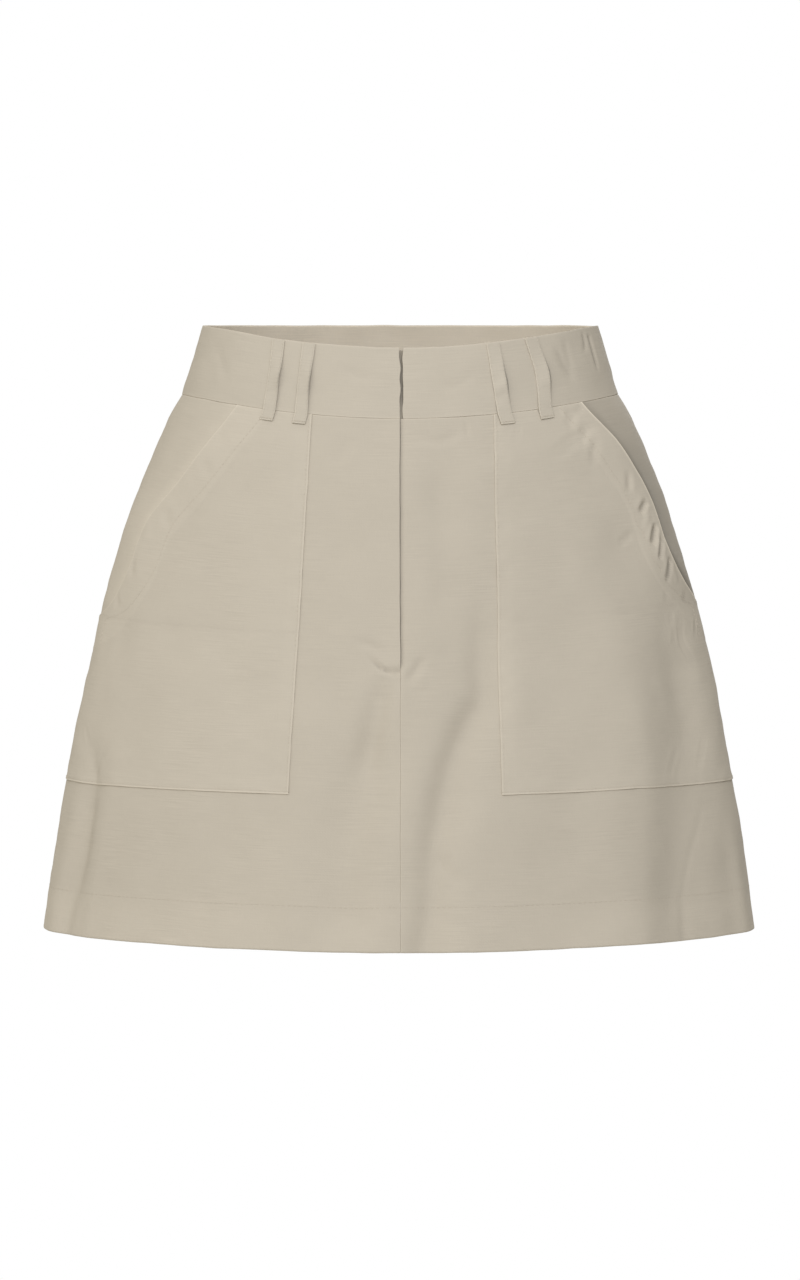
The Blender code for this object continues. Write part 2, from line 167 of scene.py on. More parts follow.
# Creases of the pocket at the picture's right alone
LEFT_POCKET_CREASES = (
    # Soft folds that hang from the waist seam
    (4, 4.5, 0.7, 0.2, 0.6, (109.5, -7.9), (109.7, -26)),
    (4, 4.5, 0.6, 0.5, 0.5, (117.9, -16.4), (117, -38)),
    (4, 5, 0.8, 0.5, 0.5, (123, -21.9), (124.1, -50)),
    # Twisted puckers beside the opening
    (3.6, 2.8, 1, 0.4, 0.3, (143.4, -48.7), (144.9, -56.3), (145.4, -65)),
    (3.2, 2.4, 2.7, 0.4, 0.4, (156.3, -69.2), (154.3, -73.4), (152.5, -78.8)),
    (3, 2.2, 4, 0.3, 0.35, (162.3, -84.8), (161.4, -91.6), (160.9, -99.7)),
    (2.3, 2, 3.8, 0.3, 0.3, (165.9, -93.3), (166.1, -100.8), (166.4, -108.9)),
    (2.9, 2.3, 4, 0.3, 0.35, (172.5, -105.7), (173.2, -114.4), (172.8, -123.6)),
    (1.8, 1.8, 1.8, 0.4, 0.4, (186.2, -128.4), (185.2, -137.1)),
    (1.8, 2, 1.8, 0.4, 0.4, (192.8, -146.7), (193.2, -159.3)),
    (2.8, 2.8, -0.5, 0.4, 0.4, (157.8, -75.6), (155.3, -89.8)),
    (1.6, 1.6, -0.3, 0.4, 0.4, (163.8, -93.1), (164.1, -105.6)),
    (2.6, 2.6, -0.5, 0.4, 0.4, (176, -114), (179.9, -125.4)),
    (2.4, 2.4, 0.9, 0.4, 0.4, (172.9, -127.4), (173.6, -138.9)),
    (2.4, 2.4, 0.9, 0.4, 0.4, (177.1, -141.1), (177.3, -150.1)),
    (2.4, 2.4, 0.8, 0.4, 0.4, (179.7, -154.1), (180.3, -163.2)),
    # Drag lines inside the facing and the crumpled edge of the shade
    (3.2, 3.6, 0.8, 0.4, 0.4, (150.4, -89.3), (145.3, -93.4), (140.3, -97.7)),
    (4.5, 5.5, 0.9, 0.3, 0.5, (128.4, -16.9), (112.6, -27.8), (93.4, -41.5)),
    (3, 3, 0.6, 0.3, 0.5, (120.3, -6.4), (103.7, -18.8)),
    (2.6, 2.6, 0.5, 0.2, 0.5, (76, -19), (74, -30)),
    (3, 3.5, 0.9, 0.4, 0.3, (183, -140), (185, -160), (195, -178)),
    (2.6, 2.4, 1.2, 0.3, 0.2, (184, -227.7), (179.7, -235.8), (175.1, -247.9)),
    (2.5, 3, 0.6, 0.4, 0.3, (201, -220), (196, -245)),
)
# Creases of the pocket at the picture's left alone
RIGHT_POCKET_CREASES = (
    (5.5, 5.5, 0.4, 0.4, 0.4, (-113.9, -21.5), (-115.3, -33.2)),
    (5.5, 5.5, 0.5, 0.4, 0.4, (-123.5, -41.1), (-124.5, -53.7)),
    (6, 6, -0.3, 0.4, 0.4, (-135.1, -49.1), (-137.9, -63.2)),
    (5.5, 5.5, 0.6, 0.4, 0.4, (-149, -72.6), (-150.3, -87.9)),
    (6, 6, -0.3, 0.4, 0.4, (-160.2, -82.1), (-164.9, -98.4)),
    (4.2, 4, 0.7, 0.4, 0.4, (-171.6, -102), (-173.9, -122.4)),
    (3.4, 3.4, 0.6, 0.4, 0.4, (-185.1, -127), (-183.6, -142.2)),
    (2, 3, 1.2, 0.4, 0.2, (-190, -225), (-196, -238), (-202, -250)),
    (2, 2, 1, 0.4, 0.4, (-206, -215), (-203.5, -232)),
)
# The back's creases, with across as in space and not mirrored
BACK_CREASES = (
    (6, 10, 1.4, 0.4, 0.4, (150, -75), (158, -130), (163, -190)),
    (10, 6, 1.4, 0.4, 0.4, (-140, -90), (-150, -150), (-150, -215)),
    (8, 11, 1.1, 0.4, 0, (64, -135), (58, -215), (62, -290), (58, -352)),
    (11, 8, 1.2, 0.4, 0, (-75, -130), (-66, -200), (-72, -280), (-64, -352)),
    (5, 12, 2, 0.4, 0.1, (208, -235), (215, -290), (219, -350)),
    (13, 5, 2.2, 0.4, 0.1, (-201, -210), (-208, -270), (-215, -348)),
    (4, 5, 0.6, 0.3, 0.6, (20, -10), (26, -42), (23, -80)),
    (4, 4, 0.7, 0.3, 0.5, (-100, -8), (-108, -35), (-104, -62)),
    (3, 3, 0.6, 0.3, 0.5, (118, -8), (124, -30)),
    (3, 3, 0.8, 0.3, 0.4, (-176, -86), (-169, -100)),
    (3, 3, 0.8, 0.3, 0.4, (183, -112), (174, -124)),
    # The two darts, each a fine pressed line down from the waist seam
    (1.1, 1.1, 0.7, 0, 0.4, (56, -1), (60, -50), (63, -92)),
    (1.1, 1.1, 0.7, 0, 0.4, (-56, -1), (-60, -50), (-63, -92)),
)
BAND_FRONT_CREASES = (
    (2.4, 2.8, 0.8, 0.1, 0.4, (119, 41), (120.5, 33), (119.5, 26)),
    (2.4, 2.8, 1.3, 0.1, 0.4, (122.8, 40), (125.8, 29), (130, 13)),
    (3.4, 4, 0.5, 0.2, 0.4, (106, 37), (109, 25), (113, 13)),
    (4, 5, 0.6, 0.3, 0.3, (100, 35), (106, 20), (114, 8)),
    (5, 5, 0.4, 0.4, 0.4, (20, 5), (38, 8), (52, 18)),
    (5, 5, 0.4, 0.4, 0.4, (-42, 19), (-25, 13), (-10, 12)),
    (5, 5, 0.4, 0.4, 0.4, (-123, 35), (-115, 20), (-112, 5)),
)
BAND_BACK_CREASES = (
    (3, 3, 0.9, 0.2, 0.4, (115, 38), (119, 15)),
    (3, 3, 1, 0.2, 0.4, (-112, 40), (-120, 18)),
    (5, 5, 0.4, 0.4, 0.4, (60, 25), (40, 20), (25, 26)),
    (5, 5, 0.4, 0.4, 0.4, (-70, 15), (-50, 24), (-30, 22)),
)

# Crumpled patches: middle and reach across and down, size of the relief and of its dents
Crumple = namedtuple("Crumple", "across height reach_across reach_height relief dent seed")
FRONT_CRUMPLES = (
    Crumple(-0.193, -0.165, 0.016, 0.045, 0.00016, 0.022, 11),
    Crumple(-0.203, -0.235, 0.014, 0.030, 0.00014, 0.024, 12),
    Crumple(0.190, -0.170, 0.022, 0.040, 0.00022, 0.024, 13),
    Crumple(0.205, -0.235, 0.018, 0.030, 0.00014, 0.026, 14),
    Crumple(0.215, -0.330, 0.020, 0.030, 0.00012, 0.026, 15),
)
BACK_CRUMPLES = (
    Crumple(-0.190, -0.160, 0.018, 0.045, 0.00018, 0.022, 21),
    Crumple(0.192, -0.175, 0.018, 0.045, 0.00018, 0.022, 22),
    Crumple(0.205, -0.300, 0.022, 0.040, 0.00014, 0.026, 23),
)

# Patch pockets: where the inner edge starts and ends, how far the cloth swells along the opening, how far
# the pocket gapes there, the width of its facing and how much lighter it is, the painted highlight along the
# opening's edge, the painted shadow on the front beside it (painted light where it is below 0), and the
# opening's line from the waist seam down to the side seam.  The bottom is level.
POCKET_BOTTOM = -0.2538
PocketCut = namedtuple(
    "PocketCut",
    "name side inner_top inner_bottom swell gape facing facing_tone worn shade front opening creases")
POCKETS = (
    PocketCut("pocket_left", 1, 0.0600, 0.0652, 0.0042, 0.0018,
              0.0215, 0.012, 0.40, 0.28, "front_left", (
        (0.1182, -0.0052), (0.1358, -0.0289), (0.1453, -0.0439), (0.1529, -0.0570), (0.1590, -0.0701),
        (0.1645, -0.0851), (0.1690, -0.0974), (0.1755, -0.1091), (0.1844, -0.1221), (0.1906, -0.1302),
        (0.1985, -0.1420)), LEFT_POCKET_CREASES),
    PocketCut("pocket_right", -1, 0.0565, 0.0712, 0.0014, 0.0012,
              0.0250, 0.034, 0.06, -0.075, "front_right", (
        (0.1051, -0.0065), (0.1255, -0.0339), (0.1420, -0.0564), (0.1532, -0.0703), (0.1619, -0.0823),
        (0.1679, -0.0954), (0.1727, -0.1085), (0.1796, -0.1222), (0.1887, -0.1369),
        (0.1990, -0.1480)), RIGHT_POCKET_CREASES),
)
POCKET_CLEARANCE = 0.00015
LEAST_CLEARANCE = 0.00005
# The gape grows over the first share of the opening's length and shrinks from the second share on
GAPE_GROWN = 0.25
GAPE_SHRINKS = 0.66
# How far the swell and the gape reach under the pocket, and the swell beyond the opening
GAPE_REACH = 0.022
SWELL_BEYOND = 0.012
# The pocket's creases begin this far from the opening's edge, and have their full depth this far
PUCKER_FROM = 0.0008
PUCKER_TO = 0.0035
# How far in the painted highlight along the opening's edge reaches
OPENING_HIGHLIGHT_REACH = 0.0010
# The painted shadow on the front beside an opening: its reach, and how much deeper it is right at the edge
SHADE_REACH = 0.038
EDGE_SHADE = 1.5
EDGE_SHADE_REACH = 0.006
# Its share at the waist seam, and the shares of the opening's length at which it is full, begins to
# fade and is gone
SHADE_AT_WAIST = 0.45
SHADE_FULL = 0.5
SHADE_FADES = 0.82
SHADE_GONE = 1.02
# How much darker a pucker is for each metre of its depth, less a free part, and the most.  The
# waistband's puckers are shallow, and shaded as if they were deeper.
PUCKER_SHADE = 130.0
PUCKER_SHADE_FREE = 0.12
PUCKER_SHADE_MOST = 0.41
BAND_PUCKER_SHARE = 2.8
POCKET_PROUD = POCKET_CLEARANCE + POCKET_WALL
# How far a facing stands out, how soft its edge is, and how far it goes on below the opening
FACING_STEP = 0.0003
FACING_SOFT = 0.0028
FACING_BELOW = 0.02
# The turned-in cloth along the sewn edges: between which widths it ends, and how much lighter it is
FOLD_WIDTHS = (0.011, 0.009)
FOLD_TONE = 0.01
# How quickly the layers under a pocket sink to their seams, away from the waist and the sides
WAIST_SINK_REACH = 0.005
SIDE_SINK_REACH = 0.008
# Distances from the sewn edges and from the opening over which that sinking sets in, and distances
# from the side seam between which the opening makes no difference any more
SEWN_SINK = (0.0006, 0.005)
OPENING_SINK = (0.0, 0.004)
SIDE_SINK = (0.006, 0.0015)

# Fly: its length, the drops over which it closes, the gap that shows along it, how far its upper edge
# stands proud and its lower edge turns in, with their reaches, and the slit that it leaves in the
# waistband
FLY_END = 0.1660
FLY_CLOSES = (FLY_END - 0.004, FLY_END + 0.003)
FLY_GAP = 0.0002
FLY_PROUD = 0.0007
FLY_PROUD_REACH = 0.009
FLY_TURN_IN = 0.0010
FLY_TURN_IN_REACH = 0.0017
BAND_SLIT_RIGHT = 0.0001
BAND_SLIT_LEFT = 0.0018
SLIT_SWAY = 0.00028
SLIT_SWAY_SIZE = 0.022
# Painted light on the waistband's inner face, where little light reaches: how much lighter it is there
BAND_INSIDE_PAINTED_LIGHT = 1.38

# Belt loops: angle in degrees at the top, the middle and the bottom, width, lift in the middle, and how
# much more the viewer's right edge lifts
Loop = namedtuple("Loop", "name top middle bottom width bulge tilt")
LOOPS = (
    Loop("belt_loop_1", -37.0, -36.2, -35.4, 0.0092, 0.0001, 0.0017),
    Loop("belt_loop_2", -26.7, -26.6, -25.9, 0.0088, 0.0001, 0.0020),
    Loop("belt_loop_3", 27.3, 27.5, 27.8, 0.0096, 0.0001, 0.0026),
    Loop("belt_loop_4", 40.7, 41.8, 39.8, 0.0098, 0.0001, 0.0026),
    Loop("belt_loop_5", 172.9, 173.3, 173.4, 0.0092, 0.0012, 0.0008),
    Loop("belt_loop_6", 187.2, 186.8, 186.7, 0.0092, 0.0012, 0.0008),
)
# The share of a loop's length at which its middle angle holds, and its upper and lower ends
LOOP_MIDDLE = 0.45
LOOP_TOP = -BAND_HEIGHT + 0.0009
LOOP_DROP = 0.0070
# The drops over which it rises onto the pocket below, and how far
LOOP_RISE = (-0.012, -0.002)
LOOP_OVER_POCKET = POCKET_PROUD + 0.0002
# The shares of its length between which it stands off the band, and how steeply it comes down there
LOOP_ARCH = (0.04, 0.94)
LOOP_ARCH_POWER = 1.4
LOOP_PUCKER = 0.00020
LOOP_PUCKER_SIZE = 0.012
LOOP_STAND_OFF = 0.00006
LOOP_TONE = 0.965
# Painted shadow at a loop's raised edge: how much darker it is there, for one that tilts by 1 mm, and how
# far in
LOOP_EDGE_PAINTED_SHADOW = 0.09
LOOP_EDGE_REACH = 0.0007

# Strip behind the fly
UNDERLAP_RIGHT_REACH = 0.022
UNDERLAP_LEFT_REACH = 0.014
UNDERLAP_TOP = -0.0445
UNDERLAP_BOTTOM = 0.1760
# How far behind the cloth it lies at the waist seam, how much further down the skirt and in the
# waistband, and the drops over which it goes there
UNDERLAP_BEHIND = 0.0020
UNDERLAP_DEEPER = 0.0014
UNDERLAP_BAND_DEEPER = 0.0024
UNDERLAP_DEEPENS = (0.010, 0.030)
UNDERLAP_BAND_DEEPENS = (-0.004, -0.015)
UNDERLAP_WAVES = 0.00015
UNDERLAP_WAVE_SIZE = 0.02
# Painted shade: how dark the strip behind the fly is made, as it lies in shadow behind the slit
UNDERLAP_PAINTED_SHADE = 0.70

# Each half of the shorts is an ellipse round its leg, cut off at the middle plane
LegSection = namedtuple("LegSection", "drop centre half_width front_depth back_depth")
SHORTS_TOP = 0.002
SHORTS_LENGTH = 0.318
SHORTS_SECTIONS = (
    LegSection(0.000, 0.0000, 0.1425, 0.0938, 0.0989),
    LegSection(0.060, 0.0000, 0.1600, 0.0960, 0.1040),
    LegSection(0.120, 0.0180, 0.1520, 0.0930, 0.1030),
    LegSection(0.170, 0.0560, 0.1240, 0.0880, 0.0960),
    LegSection(0.205, 0.0880, 0.1000, 0.0840, 0.0900),
    LegSection(0.225, 0.0990, 0.0930, 0.0825, 0.0875),
    LegSection(SHORTS_LENGTH, 0.1060, 0.0950, 0.0800, 0.0830),
)
SHORTS_DIP_REACH = 0.150
SHORTS_HEM = 0.020
SHORTS_HEM_TONE = 0.02
SHORTS_HEM_ROWS = (0.018, 0.0225)
SHORTS_WAVES = 0.00035
SHORTS_WAVE_SIZE = 0.035
# Rough radius of a leg, which turns the distances of grid lines into angles
LEG_RADIUS = 0.09

# Distances of the grid lines beside a border, and the counts between them
EDGE_LINES = np.array((0.0, 0.0004, 0.0010, 0.0019, 0.0032))
FRONT_GRID = (150, 176)
BACK_GRID = (200, 120)
POCKET_GRID = (150, 186)
# How much closer together a pocket's columns are towards its opening
POCKET_LEAN = 0.55
# Where the search for its columns starts, and how many rounds it takes
POCKET_FIRST_TURN = 0.8
POCKET_ROUNDS = 5
BAND_FRONT_GRID = (110, 30)
BAND_BACK_GRID = (170, 30)
LOOP_GRID = (8, 56)
UNDERLAP_GRID = (16, 70)
SHORTS_GRID = (50, 66)
RIM_STEPS = 4
TURN_STEPS = 4
TURNED_ROWS = 12
HEM_CLEARANCE = 0.0003
TRACE_STEP = 0.0007

# Size of the smooth movement that keeps seams from being straight, and its share at a quarter size
SWAY_SIZE = 0.080
SMALL_SWAY = 0.35
# Size of the soft waves on a skirt panel, the drop over which they grow, and the size and reach of
# those beside its side seams
PANEL_WAVE_SIZE = 0.055
PANEL_WAVES_GROW = 0.05
SEAM_WAVE_SIZE = 0.012
SEAM_WAVE_REACH = 0.007
# The same on the waistband, whose waves are lower, and the size and reach beside a pocket's edges
BAND_WAVE_SHARE = 0.6
BAND_WAVE_SIZE = 0.040
BAND_SEAM_WAVE_SIZE = 0.010
BAND_SEAM_WAVE_REACH = 0.005
POCKET_EDGE_WAVE_SIZE = 0.013
POCKET_EDGE_WAVE_REACH = 0.009
# The spread of a wobble's wave numbers about the stated one, and how many waves it has
WAVE_NUMBERS = (0.35, 1.5)
WAVE_COUNT = 22

# Camera of the photograph: its place, where it looks, and its focal length in the photograph's
# pixels, on a frame that is 1280 pixels high
CAMERA_PLACE = (0.0, -3.490, 0.0455)
CAMERA_AIM = (0.0, 0.0, -0.1624)
FOCAL_PIXELS = 5288
FRAME_PIXELS = 1280
SENSOR = 36.0

CLOTH_UV = "cloth"
TONE = "tone"
FACING = "facing"


def slot_colour(name):
    """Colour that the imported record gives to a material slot."""
    for material in frame["record"]["materials"]:
        if material["slot"] == name:
            return tuple(material["base_color"][:3])
    raise ValueError(f"the record has no material slot {name}")


# ---------------------------------------------------------------- settings


def colour_setting(name, description, default):
    """Colour that a user may change."""
    return FloatVectorProperty(name=name, description=description, default=default,
                               subtype="COLOR", size=3, min=0.0, max=1.0)


def cloth_setting(name, slot):
    """Colour of a cloth, with the record's value as its default."""
    return colour_setting(name, f"Colour of the {name.lower()} cloth", slot_colour(slot))


def length_setting(name, description, default):
    """Length that a user may change."""
    return FloatProperty(name=name, description=description, default=default, unit="LENGTH")


def share_setting(name, description, default):
    """Share between 0 and 1 that a user may change."""
    return FloatProperty(name=name, description=description, default=default,
                         subtype="FACTOR", min=0.0, max=1.0)


class SkortClothSettings(bpy.types.PropertyGroup):
    """Colours and weave of the cloth."""

    skirt: cloth_setting("Skirt", "skirt_cloth")
    pocket: cloth_setting("Pocket", "pocket_cloth")
    waistband: cloth_setting("Waistband", "waistband_cloth")
    loop: cloth_setting("Loop", "loop_cloth")
    underlap: cloth_setting("Underlap", "underlap_cloth")
    shorts: cloth_setting("Shorts", "shorts_cloth")
    thread_spacing: length_setting("Thread spacing", "Distance between threads of the plain weave", 0.00048)
    weave_relief: length_setting("Weave relief", "Height of the threads", 0.00005)
    slub_contrast: share_setting("Slubs", "Contrast of the thick and thin threads", 0.10)
    mottle: share_setting("Mottle", "Contrast of the soft patches", 0.05)
    roughness: share_setting("Roughness", "Roughness of the cloth", 0.88)
    sheen: share_setting("Sheen", "Weight of the soft sheen", 0.04)


class SkortShapeSettings(bpy.types.PropertyGroup):
    """Unevenness of the cloth and the height of its hem."""

    crease_scale: FloatProperty(
        name="Creases", description="Depth of all creases against the listed one", default=1.0)
    unevenness: length_setting("Unevenness", "Soft waviness of a whole panel", 0.00035)
    hand_made: length_setting("Hand-made look", "How far seams and edges stray from straight", 0.00016)
    seam_pucker: length_setting("Seam pucker", "Waviness beside the seams", 0.00012)
    hem_height: length_setting("Hem height", "Height of the turned-up hem", 0.028)


class SkortSewingSettings(bpy.types.PropertyGroup):
    """Stitches that show."""

    stitch_length: length_setting("Stitch length", "Length of a stitch", 0.0024)
    stitch_pitch: length_setting("Stitch pitch", "Distance from stitch to stitch", 0.0031)
    thread: length_setting("Thread", "Thickness of the sewing thread", 0.00032)
    edge: length_setting("Edge distance", "Distance of the stitches from an edge", 0.0016)


class SkortStageSettings(bpy.types.PropertyGroup):
    """Light and floor."""

    key_power: FloatProperty(
        name="Key light", description="Power of the large soft light", default=47.2, unit="POWER")
    fill: FloatProperty(
        name="Fill", description="Strength of the even light from all round", default=0.634)
    rear_power: FloatProperty(
        name="Rear light", description="Power of the light behind", default=30.0, unit="POWER")
    floor_colour: colour_setting("Floor", "Colour of the floor", (0.86, 0.86, 0.85))
    floor_level: length_setting("Floor level", "Height of the floor", -0.78)


# ---------------------------------------------------------------- plain form


def smoothstep(start, end, value):
    """Soft rise from 0 at start to 1 at end."""
    share = np.clip((value - start) / (end - start), 0.0, 1.0)
    return share * share * (3 - 2 * share)


def unit(vectors):
    """The same directions, of length 1."""
    return vectors / np.linalg.norm(vectors, axis=-1, keepdims=True)


class SmoothTable:
    """Reads rows of numbers on a smooth curve through them.  The first number is the position."""

    def __init__(self, rows):
        table = np.array(rows, float)
        self.positions = table[:, 0]
        self.values = table[:, 1:]
        steps = np.diff(self.positions)[:, None]
        slopes = np.diff(self.values, axis=0) / steps
        middle = (self.values[2:] - self.values[:-2]) / (steps[1:] + steps[:-1])
        self.slopes = np.concatenate((slopes[:1], middle, slopes[-1:]))

    def __call__(self, position):
        position = np.asarray(position, float)
        low = np.searchsorted(self.positions, position, side="right") - 1
        low = np.clip(low, 0, len(self.positions) - 2)
        span = self.positions[low + 1] - self.positions[low]
        share = ((position - self.positions[low]) / span)[..., None]
        span = span[..., None]
        return ((1 + 2 * share) * (1 - share) ** 2 * self.values[low]
                + share * (1 - share) ** 2 * span * self.slopes[low]
                + share ** 2 * (3 - 2 * share) * self.values[low + 1]
                + share ** 2 * (share - 1) * span * self.slopes[low + 1])


def front_dip(angle):
    """How far the waist lies lower towards the centre front."""
    return FRONT_DIP * np.maximum(0.0, np.cos(angle)) ** DIP_POWER


class Form:
    """Outer face of the plain garment: the waistband's above the waist seam, the skirt's below."""

    ANGLE_STEP = 0.002
    DROP_STEP = 0.0004
    ROUNDS = 8

    def __init__(self, above, below):
        self.above = SmoothTable(above)
        self.below = SmoothTable(below)

    def sections(self, drop):
        """Half width, front depth, back depth and lens at each drop."""
        drop = np.asarray(drop, float)
        values = np.where((drop < 0)[..., None], self.above(drop), self.below(drop))
        return np.moveaxis(values, -1, 0)

    def points(self, angle, drop):
        """Points in space."""
        half_width, front_depth, back_depth, lens = self.sections(drop)
        depth = np.where(np.cos(angle) > 0, front_depth, back_depth)
        along = (1 - lens) * np.cos(angle) + lens * np.cos(3 * angle)
        dip = front_dip(angle) * np.minimum(1.0, 1 - drop / SKIRT_LENGTH)
        return np.stack((half_width * np.sin(angle), -depth * along, -drop - dip), -1)

    def slopes(self, angle, drop):
        """Directions round and down the form, in metres for each radian and metre."""
        turn, step = self.ANGLE_STEP, self.DROP_STEP
        along = (self.points(angle + turn, drop) - self.points(angle - turn, drop)) / (2 * turn)
        down = (self.points(angle, drop + step) - self.points(angle, drop - step)) / (2 * step)
        return along, down

    def normals(self, angle, drop):
        """Unit vectors that point out."""
        along, down = self.slopes(angle, drop)
        return unit(np.cross(down, along))

    def girth_rate(self, angle, drop):
        """Metres along the cloth for each radian."""
        return np.linalg.norm(self.slopes(angle, drop)[0], axis=-1)

    def place(self, across, height, behind=False):
        """Angle and drop of the point seen at a distance across and a height."""
        across = np.asarray(across, float)
        height = np.asarray(height, float)
        drop = -height
        for _ in range(self.ROUNDS):
            half_width = self.sections(drop)[0]
            angle = np.arcsin(np.clip(across / half_width, -1.0, 1.0))
            if behind:
                angle = BACK_MIDDLE - angle
            dip = front_dip(angle)
            drop = np.where(-height - dip < 0, -height - dip, (-height - dip) / (1 - dip / SKIRT_LENGTH))
        return angle, drop


BAND = Form(BAND_SECTIONS, BAND_SECTIONS)
SKIRT = Form(SKIRT_SECTIONS, SKIRT_SECTIONS)
WHOLE = Form(BAND_SECTIONS, SKIRT_SECTIONS)


def fold_depth(form, angle, drop):
    """How far the long folds take the cloth inwards."""
    depth = np.zeros(angle.shape)
    rate = form.girth_rate(angle, drop)
    for fold in FOLDS:
        start = fold.drops[0]
        middle = np.radians(np.interp(drop, fold.drops, fold.angles))
        turn = np.abs((angle - middle + math.pi) % (2 * math.pi) - math.pi)
        away = np.minimum(1.0, turn * rate / fold.width)
        swell = smoothstep(start, start + FOLD_RISE * (fold.drops[-1] - start), drop)
        depth += fold.depth * swell * (1 + np.cos(math.pi * away)) / 2
    return depth


# ---------------------------------------------------------------- creases


def nearest(line, points):
    """Distance of each point from a dense line, and which of the line's points is nearest."""
    chunk = 4096
    distance = np.empty(len(points))
    index = np.empty(len(points), int)
    for first in range(0, len(points), chunk):
        part = points[first:first + chunk]
        squared = ((part[:, None] - line[None]) ** 2).sum(-1)
        index[first:first + chunk] = squared.argmin(1)
        distance[first:first + chunk] = np.sqrt(squared.min(1))
    return distance, index


def distance_to(line, points):
    """Distance of each point of a grid from a dense line."""
    return nearest(line, points.reshape(-1, 3))[0].reshape(points.shape[:-1])


def trace(form, places, behind):
    """Dense smooth line on a form through places given as across and height."""
    lengths = np.concatenate(((0.0,), np.linalg.norm(np.diff(places, axis=0), axis=1).cumsum()))
    count = max(3, int(lengths[-1] / TRACE_STEP))
    smooth = SmoothTable(np.column_stack((lengths, places)))(np.linspace(0, lengths[-1], count))
    angle, drop = form.place(smooth[:, 0], smooth[:, 1], behind)
    return form.points(angle, drop), form.normals(angle, drop)


def crease_lift(form, points, creases, behind=False):
    """Lift that creases give to the points of a grid on the plain form."""
    flat = points.reshape(-1, 3)
    lift = np.zeros(len(flat))
    scale = bpy.context.scene.skort_shape.crease_scale
    for row in creases:
        left, right, depth = np.array(row[:3]) / PER_METRE
        rise, fall = row[3:5]
        line, outward = trace(form, np.array(row[5:]) / PER_METRE, behind)
        reach = CREASE_REACH * max(left, right)
        inside = ((flat > line.min(0) - reach) & (flat < line.max(0) + reach)).all(1)
        if not inside.any():
            continue
        near = flat[inside]
        distance, index = nearest(line, near)
        tangent = unit(np.gradient(line, axis=0))
        to_right = np.cross(outward, tangent)[index]
        on_right = ((near - line[index]) * to_right).sum(1) > 0
        away = distance / np.where(on_right, right, left)
        share = index / (len(line) - 1)
        swell = np.ones(len(near))
        if rise:
            swell *= smoothstep(0.0, rise, share)
        if fall:
            swell *= smoothstep(0.0, fall, 1 - share)
        lift[inside] -= scale * depth * swell * (1 - away ** 2) * np.exp(-away ** 2)
    return lift.reshape(points.shape[:-1])


def wobble(points, size, seed):
    """Soft waves of about a size through space, of mean 0 and spread 1."""
    draw = np.random.default_rng(seed)
    directions = unit(draw.normal(size=(WAVE_COUNT, 3)))
    numbers = 2 * math.pi / size * draw.uniform(*WAVE_NUMBERS, WAVE_COUNT)
    phases = draw.uniform(0.0, 2 * math.pi, WAVE_COUNT)
    waves = np.cos(points @ (directions * numbers[:, None]).T + phases)
    return waves.sum(-1) * math.sqrt(2 / WAVE_COUNT)


def crumple_lift(points, crumples, behind=False):
    """Lift of the crumpled patches."""
    lift = np.zeros(points.shape[:-1])
    side = points[..., 1] > 0 if behind else points[..., 1] < 0
    for patch in crumples:
        across = (points[..., 0] - patch.across) / patch.reach_across
        height = (points[..., 2] - patch.height) / patch.reach_height
        window = np.exp(-across ** 2 - height ** 2) * side
        lift += patch.relief * window * wobble(points, patch.dent, patch.seed)
    return lift


# ---------------------------------------------------------------- grids and shells


def spaced(length, count):
    """Distances of grid lines along a length, closer together near both of its ends."""
    inner = np.linspace(EDGE_LINES[-1], length - EDGE_LINES[-1], count)
    return np.concatenate((EDGE_LINES[:-1], inner, length - EDGE_LINES[-2::-1]))


def columns_between(form, start, end, start_drop, end_drop, count, lean=0.0):
    """Angles of the grid columns between two borders, for each row.

    A lean above 0 draws the columns together towards the end, and below 0 towards the start.
    """
    near_start = start[:, None] + EDGE_LINES / form.girth_rate(start, start_drop)[:, None]
    near_end = end[:, None] - EDGE_LINES[::-1] / form.girth_rate(end, end_drop)[:, None]
    share = np.linspace(0.0, 1.0, count)
    share += lean * share * (1 - share)
    inner = near_start[:, -1:] + (near_end[:, :1] - near_start[:, -1:]) * share
    return np.concatenate((near_start[:, :-1], inner, near_end[:, 1:]), axis=1)


def grid_on(form, start, end, drops, count):
    """Angles, drops and points of a grid on a form, between two borders with an angle at each drop."""
    angle = columns_between(form, start, end, drops, drops, count)
    drop = np.broadcast_to(drops[:, None], angle.shape)
    return angle, drop, form.points(angle, drop)


def distance_in(points):
    """Distance of each point of a grid from its first row, along its column."""
    steps = np.linalg.norm(np.diff(points, axis=0), axis=-1)
    return np.concatenate((np.zeros((1, points.shape[1])), steps.cumsum(0)))


def from_border(border, grid):
    """A grid turned so that its first row lies on a border."""
    if border in ("start", "end"):
        grid = grid.swapaxes(0, 1)
    return grid[::-1] if border in ("end", "bottom") else grid


# How much lighter the painted highlight along the edge of a fold is, and how wide it is
EDGE_HIGHLIGHT = 0.10
EDGE_HIGHLIGHT_REACH = 0.0007


